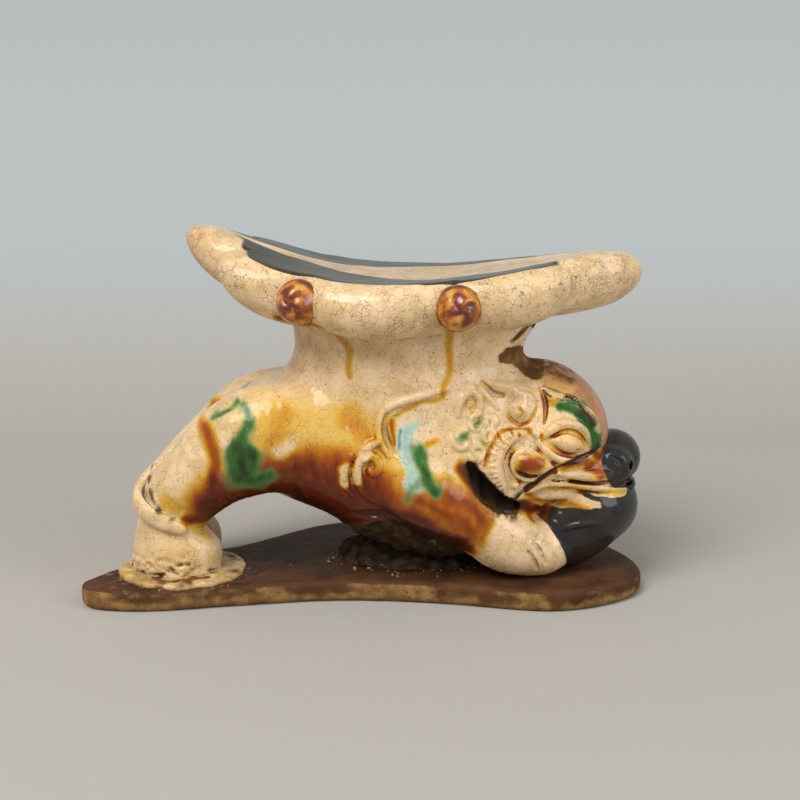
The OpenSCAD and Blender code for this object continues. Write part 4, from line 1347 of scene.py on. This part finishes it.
def build_piece(name, places, ways, faces, amounts, finish):
    """Makes a closed object from some of the skin's faces, with the skin's own normals and oxides."""
    used, local = np.unique(faces, return_inverse=True)
    local = local.reshape(faces.shape).astype(np.int64)
    spots, outward = [places[used]], [ways[used]]
    cells, count = local.tolist(), len(used)
    for ring in border_loops(local):
        back = places[used][ring] - BACK_DEPTH * ways[used][ring]
        middle = sunk(back.mean(0), BACK_DEPTH + BACK_SHARE * np.linalg.norm(np.ptp(back, axis=0)))
        spots += [back, middle[None]]
        outward += [-ways[used][ring], -ways[used][ring].mean(0)[None]]
        n = len(ring)
        for i in range(n):
            j = (i + 1) % n
            cells.append([ring[j], ring[i], count + i, count + j])
            cells.append([count + j, count + i, count + n])
        count += n + 1
    mesh = bpy.data.meshes.new(name)
    mesh.from_pydata(np.vstack(spots) * MM, [], cells)
    mesh.shade_smooth()
    for key, values in amounts.items():
        filled = np.full(count, BACK_AMOUNTS.get(key, 0.0))
        filled[:len(used)] = values[used]
        mesh.attributes.new(key, "FLOAT", "POINT").data.foreach_set("value", filled.astype(np.float32))
    mesh.normals_split_custom_set_from_vertices(np.vstack(outward).tolist())
    mesh.materials.append(finish)
    piece = shown(bpy.data.objects.new(name, mesh))
    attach(piece, "root")
    return piece


skin_ways = vertex_normals(skin_points, quads)
for i, node in enumerate(labels):
    piece = build_piece(f"glazed_{node}", skin_points, skin_ways, quads[label == i], oxides, glaze)
    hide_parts(node)
    form = node.removesuffix("_near").removesuffix("_far")
    SLOT_OF.get(form, "cream_glaze")
print("pieces of the lion:", len(labels))

# %% [markdown]
# ## Slab
# The slab was rolled out and cut in the shape of a leaf, so its outline is a smooth curve through a
# few points. An extruded outline with a bevel would give its shape, but not its chipped lower edge. So
# it is a block of clay too: the distance to its outline and to its faces, with a rounded edge.

# %% Blocks of clay
BLOCK_MARGIN, BLOCK_BLEND = 3, 0.2


def rounded(rim, level, radius):
    """Distance to a flat block with a round edge, from the distances to its outline and to its faces."""
    rim, level = rim + radius, level + radius
    return np.hypot(np.maximum(rim, 0), np.maximum(level, 0)) + np.minimum(np.maximum(rim, level), 0) - radius


def block_piece(name, node, form, step, roughness_of, finish, amounts_of):
    """Makes a piece from a form on a grid of its own, lumps its skin, and gives its points and faces."""
    low, high = form[1:]
    block = Clay(low - BLOCK_MARGIN, high + BLOCK_MARGIN, step)
    block.add(name, form, BLOCK_BLEND)
    places, faces = block.skin()
    ways = block.outward(places)
    places = places + ways * roughness_of(places, ways)[:, None]
    piece = build_piece(name, places, vertex_normals(places, faces), faces, amounts_of(places, ways), finish)
    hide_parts(node)
    print(name, len(places), "points")
    return places, faces


# %% Slab outline
SLAB_OUTLINE = [
    (-89, -18.9), (-83.7, -27.4), (-66, -29.5), (-40, -24.75), (-8, -20), (24, -22.75), (58, -29.5),
    (80.1, -21.2), (89, -8), (84.55, 12), (68, 33.1), (36, 44.6), (4, 46), (-17, 40.5), (-33, 26.7),
    (-49.1, 13), (-57.5, 18.5), (-67.5, 19), (-77.9, 11.5), (-76.9, -1.5), (-83.7, -10),
]
SLAB_EDGE = 2.2
VENT_PLACE, VENT_RADIUS = (30, 0), 3.0


def closed_path(corners, steps):
    """A smooth closed curve through the corners."""
    around = corners[-2:] + corners + corners[:2]
    return smooth_path(around, steps)[2 * steps:-2 * steps - 1]


def outline_depth(path, x, y):
    """Distance to a closed outline seen from above, below zero inside."""
    gap = np.full(np.broadcast(x, y).shape, 1e9, np.float32)
    inside = np.zeros(gap.shape, bool)
    for a, b in zip(path, np.roll(path, -1, axis=0)):
        way = b - a
        share = np.clip(((x - a[0]) * way[0] + (y - a[1]) * way[1]) / (way @ way + 1e-9), 0, 1)
        gap = np.minimum(gap, np.hypot(x - a[0] - share * way[0], y - a[1] - share * way[1]))
        if way[1] != 0:
            inside ^= ((a[1] > y) != (b[1] > y)) & (x < a[0] + way[0] * (y - a[1]) / way[1])
    return np.where(inside, -gap, gap)


leaf = closed_path(SLAB_OUTLINE, 6)


def slab_depth(x, y, z):
    """Distance to the slab, with its vent hole."""
    level = np.abs(z - SLAB_TOP / 2) - SLAB_TOP / 2
    vent = VENT_RADIUS - np.hypot(x - VENT_PLACE[0], y - VENT_PLACE[1])
    return np.maximum(rounded(outline_depth(leaf, x, y), level, SLAB_EDGE), vent)


print("slab outline:", len(leaf), "points")

# %% Slab finish
SLAB_BROWN, SLAB_DARK, SLAB_RUST = (0.085, 0.034, 0.013), (0.042, 0.018, 0.008), (0.125, 0.056, 0.022)
BUFF, BUFF_STAIN = (0.30, 0.165, 0.055), (0.17, 0.085, 0.028)
PALE_DUST, PIT_DIRT = (0.42, 0.27, 0.13), (0.03, 0.016, 0.008)


def brown_slab():
    """Dark brown glaze, worn through to buff clay along the edge."""
    f = Finish("brown_slab")
    mottle, blotch, fine = f.noise(9, 4), f.noise(24, 3), f.noise(1.3, 3)
    top = f.mix(mottle.rise(0.35, 0.7), SLAB_BROWN, SLAB_DARK)
    top = f.mix(blotch.rise(0.50, 0.75) * 0.6, top, SLAB_RUST)
    wear = (f.amount("wear") + 0.9 * (mottle - 0.5) + 0.4 * (fine - 0.5)).rise(0.30, 0.86)
    body = f.mix(wear, top, f.mix(f.noise(4, 3).rise(0.35, 0.65), BUFF, BUFF_STAIN))
    body = f.mix(0.5 * f.noise(3, 4).rise(0.56, 0.75) * f.amount("dust"), body, PALE_DUST)
    pitted = f.cells(2.0).rise(0.16, 0.08)
    body = f.mix(pitted * fine.rise(0.5, 0.6), body, PIT_DIRT)
    f.bump(0.6 * fine + 0.4 * mottle - 0.5 * pitted, 0.28)
    return f.surface(body, 0.46 + 0.25 * fine + 0.2 * wear, {"Specular IOR Level": 0.12})


# %% Slab piece
SLAB_VOXEL = 0.7
SLAB_LOW, SLAB_HIGH = np.array((-90.0, -31, 0)), np.array((90.0, 47, SLAB_TOP))
DUST_MIDDLE, DUST_REACH = (-60, -9), (34, 20)


def slab_roughness(places, ways):
    """Rolled unevenness, with chips along the lower edge."""
    chips = np.minimum(grain(places + 50, 7) + 0.28, 0) * ease(places[:, 2], 4.5, 1.5)
    return 0.5 * grain(places, 17) * (ways[:, 2] > -0.5) + 0.12 * grain(places, 4) + 1.6 * chips


def slab_amounts(places, ways):
    """Wear on the edge, more of it at the tail end and low down, and dust around the hind feet."""
    edge = ways[:, 2] < 0.7
    wear = (0.50 + 0.5 * ease(places[:, 2], 4.6, 0.6)) * ease(ways[:, 2], 0.75, 0.35)
    left = 0.35 * ease(places[:, 0], -20, -70) * edge
    patches = 0.9 * grain(places + 20, 9) + 0.5 * grain(places + 60, 3.5)
    from_feet = np.hypot(places[:, 0] - DUST_MIDDLE[0], places[:, 1] - DUST_MIDDLE[1])
    return {"wear": wear + left + patches * edge, "dust": ease(from_feet, *DUST_REACH) * (ways[:, 2] > 0.5)}


slab_points, slab_faces = block_piece(
    "glazed_base_slab", "base_slab", (slab_depth, SLAB_LOW, SLAB_HIGH), SLAB_VOXEL,
    slab_roughness, brown_slab(), slab_amounts,
)

# %% [markdown]
# ## Pad under the hind feet
# The feet were bedded on a thin pat of clay, and glaze ran over it. It is an oval with an uneven edge,
# kept inside the slab's outline, and it takes the lion's own glaze, half worn off.

# %% Pad
PAD_MIDDLE, PAD_RADII, PAD_LEVELS = (-59, -9), (20.5, 19), (6.4, 8.3)
PAD_LOW, PAD_HIGH = np.array((-81.0, -29, 6)), np.array((-37.0, 11, 9))
PAD_VOXEL, PAD_EDGE, PAD_INSET = 0.5, 0.6, 0.4


def pad_depth(x, y, z):
    """Distance to the pad, with bites out of its edge."""
    flat = np.stack(np.broadcast_arrays(x, y, 0 * x), -1).reshape(-1, 3).astype(float)
    shape = np.broadcast(x, y).shape
    bite = (1.8 * grain(flat, 11) + 2.2 * np.maximum(grain(flat + 70, 6) - 0.05, 0)).reshape(shape)
    rim = oval_depth((x - PAD_MIDDLE[0], y - PAD_MIDDLE[1]), PAD_RADII) + bite
    rim = np.maximum(rim, outline_depth(leaf, x, y) + PAD_INSET)
    level = np.abs(z - sum(PAD_LEVELS) / 2) - (PAD_LEVELS[1] - PAD_LEVELS[0]) / 2
    return rounded(rim, level, PAD_EDGE)


def pad_roughness(places, ways):
    """Small lumps all over."""
    return 0.35 * grain(places, 4) + 0.25 * grain(places, 1.6)


def pad_amounts(places, ways):
    """A thin wash of iron, half worn off."""
    zero = np.zeros(len(places))
    worn = 0.30 + 0.45 * ease(grain(places + 30, 5), 0.0, 0.35)
    wash = 0.10 + 0.08 * ease(grain(places + 90, 6), -0.1, 0.3)
    return dict.fromkeys(oxides, zero) | {"iron": wash, "blush": zero + 0.1, "bare": worn}


block_piece(
    "glazed_hind_foot_pad", "hind_foot_pad", (pad_depth, PAD_LOW, PAD_HIGH), PAD_VOXEL,
    pad_roughness, glaze, pad_amounts,
)

# %% [markdown]
# ## Rough clay under the belly
# A wad of unglazed clay beds the belly on the slab. It is a low ball, broken up by three sizes of lumps
# that really move its skin, because a bump alone would leave its outline smooth.

# %% Wad
WAD_MIDDLE, WAD_RADII = (17, 5, 4), (27, 17, 12)
WAD_LOW, WAD_HIGH = np.subtract(WAD_MIDDLE, WAD_RADII), np.add(WAD_MIDDLE, WAD_RADII)
WAD_VOXEL = 0.7
CLAY_DARK, CLAY_BROWN, CLAY_PALE = (0.020, 0.013, 0.008), (0.070, 0.042, 0.022), (0.16, 0.10, 0.05)


def wad_depth(x, y, z):
    """Distance to the wad, cut off flat just below the slab's top."""
    offsets = (x - WAD_MIDDLE[0], y - WAD_MIDDLE[1], z - WAD_MIDDLE[2])
    return np.maximum(oval_depth(offsets, WAD_RADII), SLAB_TOP - SUNK - z)


def wad_roughness(places, ways):
    """Lumps of three sizes on all but the underside."""
    lumps = 2.6 * grain(places, 7) + 1.8 * grain(places, 3.2) + 0.9 * grain(places, 1.6)
    return lumps * (ways[:, 2] > -0.4)


def wad_amounts(places, ways):
    """Where pale crumbs stick."""
    return {"crumb": ease(grain(places + 40, 3), 0.05, 0.3)}


def rough_clay():
    """Unglazed clay with kiln dirt and pale crumbs."""
    f = Finish("rough_clay")
    lump, fine = f.noise(3, 4), f.noise(0.8, 3)
    body = f.mix(lump.rise(0.35, 0.7), CLAY_DARK, CLAY_BROWN)
    body = f.mix((f.amount("crumb") * fine).rise(0.40, 0.75), body, CLAY_PALE)
    f.bump(0.6 * fine + 0.6 * lump, 0.5)
    return f.surface(body, 0.85 + 0.1 * fine, {"Specular IOR Level": 0.1})


block_piece(
    "rough_belly_wad", "belly_wad", (wad_depth, WAD_LOW, WAD_HIGH), WAD_VOXEL,
    wad_roughness, rough_clay(), wad_amounts,
)

# %% [markdown]
# ## What repeats
# Four round bosses sit in the notches of the rim, a row of beads edges the forehead, and crumbs of
# clay lie on the slab. Each is one small form on many points, which is what Geometry Nodes are for. A
# tree has named inputs for its sizes, and it ends in real geometry, because instances would be lost.


# %% Growing with nodes
def grow_tree(name, inputs):
    """An empty tree with a geometry in and out and some named inputs; gives its net and its input wires."""
    tree = bpy.data.node_groups.new(name, "GeometryNodeTree")
    tree.interface.new_socket("Geometry", in_out="INPUT", socket_type="NodeSocketGeometry")
    for title, kind in inputs.items():
        tree.interface.new_socket(title, in_out="INPUT", socket_type=f"NodeSocket{kind}")
    tree.interface.new_socket("Geometry", in_out="OUTPUT", socket_type="NodeSocketGeometry")
    entry = tree.nodes.new("NodeGroupInput")
    net = Net(tree)
    return net, {socket.name: Wire(net, socket) for socket in entry.outputs if socket.name}


def set_on(net, points_wire, instance, finish, **placing):
    """Sets an instance on points, and ends the tree in real, smooth geometry with its finish."""
    sockets = {"Points": points_wire, "Instance": instance} | placing
    copies = net.node("GeometryNodeInstanceOnPoints", {}, sockets)
    real = net.node("GeometryNodeRealizeInstances", {}, {"Geometry": copies})
    smooth = net.node("GeometryNodeSetShadeSmooth", {}, {"Geometry": real})
    dressed = net.node("GeometryNodeSetMaterial", {}, {"Geometry": smooth, "Material": finish})
    net.plug(net.tree.nodes.new("NodeGroupOutput").inputs["Geometry"], dressed)
    return net


def grown(name, base, net, values):
    """Runs a tree on a mesh and leaves the result as a plain piece."""
    piece = shown(bpy.data.objects.new(name, base))
    grow = piece.modifiers.new("grow", "NODES")
    grow.node_group = net.tree
    for item in net.tree.interface.items_tree:
        if item.in_out == "INPUT" and item.name in values:
            grow[item.identifier] = values[item.name]
    depsgraph = bpy.context.evaluated_depsgraph_get()
    mesh = bpy.data.meshes.new_from_object(
        piece.evaluated_get(depsgraph), preserve_all_data_layers=True, depsgraph=depsgraph
    )
    piece.modifiers.remove(grow)
    piece.data = mesh
    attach(piece, "root")
    print(name, len(mesh.polygons), "faces")
    return piece


# %% [markdown]
# ## Bosses on the rim
# Each boss is a flattened ball of clay with a swirl pressed into it, glazed amber. The swirl follows a
# rule, a sine of the angle that turns with the distance from the middle, so the tree works it out and
# keeps it as an attribute, and the finish is paler on its ridges.

# %% Boss finish
def amber_boss():
    """Mottled amber glaze, pale on the swirl's ridges and dark in its furrows."""
    f = Finish("amber_boss")
    ridge, mottle = f.amount("ridge"), f.noise(3.4, 3)
    vein = f.noise(2.6, 3).rise(0.42, 0.60)
    iron = (0.80 - 0.22 * ridge - 0.26 * vein + 0.7 * (mottle - 0.5)) * (1 - 0.4 * f.amount("edge"))
    specks = f.cells(1.6).rise(0.18, 0.08) * mottle.rise(0.48, 0.6)
    body = f.mix(0.6 * specks, f.ramp(iron, *IRON_STOPS), DIRT_AND_SHADE)
    f.bump(f.noise(0.9, 2), 0.10)
    return f.surface(body, 0.26 + 0.2 * mottle, {"Coat Weight": 0.6 - 0.2 * mottle, "Coat Roughness": 0.12})


# %% Boss tree
BOSS_INPUTS = {
    "Radius": "Float", "Height": "Float", "Arms": "Float", "Twist": "Float", "Relief": "Float",
    "Finish": "Material",
}
BOSS_SEGMENTS, BOSS_RINGS = 72, 36


def boss_tree():
    """A flattened ball with a swirl pressed into it, set on every point and turned to face outwards."""
    net, given = grow_tree("rim_bosses", BOSS_INPUTS)
    ball_sizes = {"Segments": BOSS_SEGMENTS, "Rings": BOSS_RINGS, "Radius": 1.0}
    dome = net.node("GeometryNodeMeshUVSphere", {}, ball_sizes)
    spot = net.node("GeometryNodeInputPosition")
    x, y, z = (net.node("ShaderNodeSeparateXYZ", {}, {0: spot}, i) for i in range(3))
    reach = (x * x + y * y) ** 0.5
    turn = x.maths("ARCTAN2", y, x)
    wave = (given["Arms"] * turn + given["Twist"] * reach).sine() * 0.5 + 0.5
    ridge = wave * reach.rise(0.08, 0.30) * reach.rise(0.86, 0.70)
    ring = reach.rise(0.68, 0.80) * reach.rise(0.98, 0.86)
    rise = z * given["Height"] + (ridge - 0.5 * ring) * given["Relief"]
    place = net.node("ShaderNodeCombineXYZ", {}, {0: x * given["Radius"], 1: y * given["Radius"], 2: rise})
    on_points = {"data_type": "FLOAT", "domain": "POINT"}
    for title, value in (("ridge", ridge), ("edge", ring)):
        sockets = {"Geometry": dome, "Name": title, "Value": value}
        dome = net.node("GeometryNodeStoreNamedAttribute", on_points, sockets)
    dome = net.node("GeometryNodeSetPosition", {}, {"Geometry": dome, "Position": place})
    facing = net.node("GeometryNodeInputNamedAttribute", {"data_type": "FLOAT_VECTOR"}, {"Name": "facing"})
    turned = net.node("FunctionNodeAlignRotationToVector", {"axis": "Z"}, {"Vector": facing})
    spots = net.node("GeometryNodeMeshToPoints", {}, {"Mesh": given["Geometry"]})
    return set_on(net, spots, dome, given["Finish"], Rotation=turned)


# %% Bosses
BOSS_RADIUS, BOSS_HEIGHT, BOSS_RELIEF = 6.9, 6.0, 0.7
BOSS_ARMS, BOSS_TWIST = 4.0, 6.0
BOSS_SEAT, BOSS_REST = 0.47, 5.0
BOSS_NOTCHES = (1, 2, 5, 6)
BOSS_NODES = ("rim_boss_near_left", "rim_boss_near_right", "rim_boss_far_left", "rim_boss_far_right")


def boss_seat(angle):
    """Place of a boss in a notch of the rim, and the way it faces."""
    way = np.array((np.cos(angle) / REST_LONG, np.sin(angle) / REST_DEEP, 0))
    shrink = 1 - BOSS_REST / REST_DEEP
    x = REST_MIDDLE + shrink * REST_LONG * np.cos(angle)
    y = shrink * REST_DEEP * np.sin(angle)
    return (x, y, rest_top(x, y) - BOSS_SEAT * rest_thick(x)), way / np.linalg.norm(way)


seats = [boss_seat(np.radians(NOTCHES[i])) for i in BOSS_NOTCHES]
spots = bpy.data.meshes.new("boss_spots")
spots.from_pydata(np.array([place for place, way in seats]) * MM, [], [])
facing = spots.attributes.new("facing", "FLOAT_VECTOR", "POINT")
facing.data.foreach_set("vector", np.array([way for place, way in seats]).ravel())
bosses = grown("glazed_rim_bosses", spots, boss_tree(), {
    "Radius": BOSS_RADIUS * MM, "Height": BOSS_HEIGHT * MM, "Arms": BOSS_ARMS, "Twist": BOSS_TWIST,
    "Relief": BOSS_RELIEF * MM, "Finish": amber_boss(),
})
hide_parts(*BOSS_NODES)

# %% [markdown]
# ## Beads along the forehead
# A row of tiny balls was pressed along both borders of the cap. They could be set by hand, one by one.
# A curve that is resampled at even steps sets them all, and their spacing is one number.

# %% Bead tree and finish
BEAD_STRAW, BEAD_BROWN = (0.48, 0.24, 0.07), (0.16, 0.06, 0.018)


def bead_tree():
    """Small balls at even steps along an edge."""
    net, given = grow_tree("beads", {"Radius": "Float", "Spacing": "Float", "Finish": "Material"})
    line = net.node("GeometryNodeMeshToCurve", {}, {"Mesh": given["Geometry"]})
    steps = {"Curve": line, "Length": given["Spacing"]}
    line = net.node("GeometryNodeResampleCurve", {"mode": "LENGTH"}, steps)
    bead = net.node("GeometryNodeMeshIcoSphere", {}, {"Radius": given["Radius"], "Subdivisions": 3})
    return set_on(net, line, bead, given["Finish"])


def bead_glaze():
    """Straw glaze with brown between the beads."""
    f = Finish("bead_glaze")
    mottle = f.noise(1.8, 3)
    body = f.mix(mottle.rise(0.35, 0.65), BEAD_STRAW, BEAD_BROWN)
    f.bump(f.noise(0.5, 2), 0.06)
    return f.surface(body, 0.3 + 0.2 * mottle, {"Coat Weight": 0.5, "Coat Roughness": 0.15})


# %% Beads
BEAD_RADIUS, BEAD_SPACING, BEAD_SINK = 0.48, 1.0, 0.2
BAND_EDGE = [(55.6, 68.3), (59, 67), (63.2, 65.4), (67, 63), (70, 59.5), (72.4, 55.2), (74.2, 50.8)]

near_line = smooth_path([(x, lion.side_of(x, z) + BEAD_SINK, z) for x, z in BAND_EDGE], 6)
far_line = near_line * (1, -1, 1)
count = len(near_line)
links = [(start + i, start + i + 1) for start in (0, count) for i in range(count - 1)]
edge_lines = bpy.data.meshes.new("band_edges")
edge_lines.from_pydata(np.vstack([near_line, far_line]) * MM, links, [])
beads = grown("forehead_beads", edge_lines, bead_tree(), {
    "Radius": BEAD_RADIUS * MM, "Spacing": BEAD_SPACING * MM, "Finish": bead_glaze()
})

# %% [markdown]
# ## Crumbs on the slab
# Kiln grit sticks to the slab, thickest around the wad. Scattering points on the slab's top by an
# attribute puts it where the mesh asks for it, and chance turns and sizes each crumb, with a fixed seed.

# %% Crumb tree and finish
GRIT_STOPS = [(0.35, (0.06, 0.032, 0.015)), (0.5, (0.20, 0.11, 0.05)), (0.66, (0.48, 0.33, 0.18))]
LEAST_SCALE, MOST_SCALE = (0.4, 0.4, 0.3), (1.5, 1.2, 0.9)
CRUMB_TILT = 0.4
LEAST_TURN, MOST_TURN = (-CRUMB_TILT, -CRUMB_TILT, 0.0), (CRUMB_TILT, CRUMB_TILT, math.tau)


def crumb_tree():
    """Crumbs scattered where the mesh asks for them, each turned and sized by chance."""
    inputs = {"Density": "Float", "Size": "Float", "Seed": "Int", "Finish": "Material"}
    net, given = grow_tree("crumbs", inputs)
    wanted = net.node("GeometryNodeInputNamedAttribute", {"data_type": "FLOAT"}, {"Name": "wanted"})
    spread = {"Mesh": given["Geometry"], "Density": wanted * given["Density"], "Seed": given["Seed"]}
    spots = net.node("GeometryNodeDistributePointsOnFaces", {"distribute_method": "RANDOM"}, spread)
    grit = net.node("GeometryNodeMeshIcoSphere", {}, {"Radius": given["Size"], "Subdivisions": 2})
    sized = {"Min": LEAST_SCALE, "Max": MOST_SCALE, "Seed": given["Seed"]}
    scale = net.node("FunctionNodeRandomValue", {"data_type": "FLOAT_VECTOR"}, sized)
    turned = {"Min": LEAST_TURN, "Max": MOST_TURN, "Seed": given["Seed"]}
    turn = net.node("FunctionNodeRandomValue", {"data_type": "FLOAT_VECTOR"}, turned)
    return set_on(net, spots, grit, given["Finish"], Rotation=turn, Scale=scale)


def crumb_clay():
    """Pale and brown kiln grit."""
    f = Finish("crumb_clay")
    f.bump(f.noise(0.5, 3), 0.15)
    return f.surface(f.ramp(f.noise(2.5, 1), *GRIT_STOPS), 0.75 + 0.2 * f.noise(1.0, 2))


# %% Crumbs
CRUMB_SEED, CRUMB_SIZE, CRUMB_DENSITY = 11, 0.55, 0.22
BED_DEPTH = 0.8
PAD_CRUMBS, STRAY_CRUMBS = 0.12, 0.006

bed_faces = slab_faces[slab_points[slab_faces].mean(1)[:, 2] > SLAB_TOP - BED_DEPTH]
used, local = np.unique(bed_faces, return_inverse=True)
bed_points = slab_points[used]
bed = bpy.data.meshes.new("crumb_bed")
bed.from_pydata(bed_points * MM, [], local.reshape(bed_faces.shape).tolist())
from_wad = oval_depth((bed_points[:, 0] - WAD_MIDDLE[0], bed_points[:, 1] - WAD_MIDDLE[1]), WAD_RADII[:2])
from_pad = oval_depth((bed_points[:, 0] - PAD_MIDDLE[0], bed_points[:, 1] - PAD_MIDDLE[1]), PAD_RADII)
wanted = ease(from_wad, 6, -3) + PAD_CRUMBS * ease(np.abs(from_pad), 6, 0) + STRAY_CRUMBS
bed.attributes.new("wanted", "FLOAT", "POINT").data.foreach_set("value", wanted.astype(np.float32))
crumbs = grown("clay_crumbs", bed, crumb_tree(), {
    "Density": CRUMB_DENSITY / MM**2, "Size": CRUMB_SIZE * MM, "Seed": CRUMB_SEED, "Finish": crumb_clay()
})

# %% [markdown]
# ## Floor
# A pale sweep of paper: flat under the object, curved up behind it, so that no line cuts the view. It
# takes the lamps' light and the shadow where it lies. Where it stands it shows one even tone to the
# camera and in reflections, so that the lamps needn't reach it.

# %% Paper
FLOOR_TONE = (0.41, 0.388, 0.355)
WALL_STOPS = [(0.0, (0.50, 0.54, 0.545)), (0.35, (0.50, 0.54, 0.525)), (1.0, (0.44, 0.46, 0.445))]
WALL_TALL = 420
GLOW_FROM, GLOW_FULL = 2, 90


def paper():
    """Matt paper, warm where it lies and cooler where it stands."""
    f = Finish("paper")
    height = f.height()
    f.surface(FLOOR_TONE, 0.9, {"Specular IOR Level": 0.1})
    glow = f.node("ShaderNodeEmission", {}, {"Color": f.ramp(height.rise(0, WALL_TALL), *WALL_STOPS)})
    to_camera = f.node("ShaderNodeLightPath", out="Is Camera Ray")
    to_gloss = f.node("ShaderNodeLightPath", out="Is Glossy Ray")
    share = height.rise(GLOW_FROM, GLOW_FULL) * (to_camera + to_gloss)
    lit = Wire(f, f.shader.outputs[0])
    both = f.node("ShaderNodeMixShader", {}, {0: share, 1: lit, 2: glow})
    f.plug(f.tree.nodes["Material Output"].inputs["Surface"], both)
    return f.material


# %% Sweep
SWEEP_FRONT, SWEEP_BACK, SWEEP_BEND, SWEEP_HIGH, SWEEP_HALF = -2.0, 0.20, 0.26, 2.2, 3.0
BEND_STEPS = 32

profile = [(SWEEP_FRONT, 0.0), (0.0, 0.0)]
for turn in np.linspace(0, math.pi / 2, BEND_STEPS):
    profile.append((SWEEP_BACK + SWEEP_BEND * math.sin(turn), SWEEP_BEND * (1 - math.cos(turn))))
profile.append((SWEEP_BACK + SWEEP_BEND, SWEEP_HIGH))
corners = [(side * SWEEP_HALF, y, z) for y, z in profile for side in (-1, 1)]
strips = [(2 * i, 2 * i + 1, 2 * i + 3, 2 * i + 2) for i in range(len(profile) - 1)]
sweep_mesh = bpy.data.meshes.new("sweep")
sweep_mesh.from_pydata(corners, [], strips)
sweep_mesh.shade_smooth()
sweep_mesh.materials.append(paper())
shown(bpy.data.objects.new("sweep", sweep_mesh))
print("sweep:", len(strips), "strips of paper")
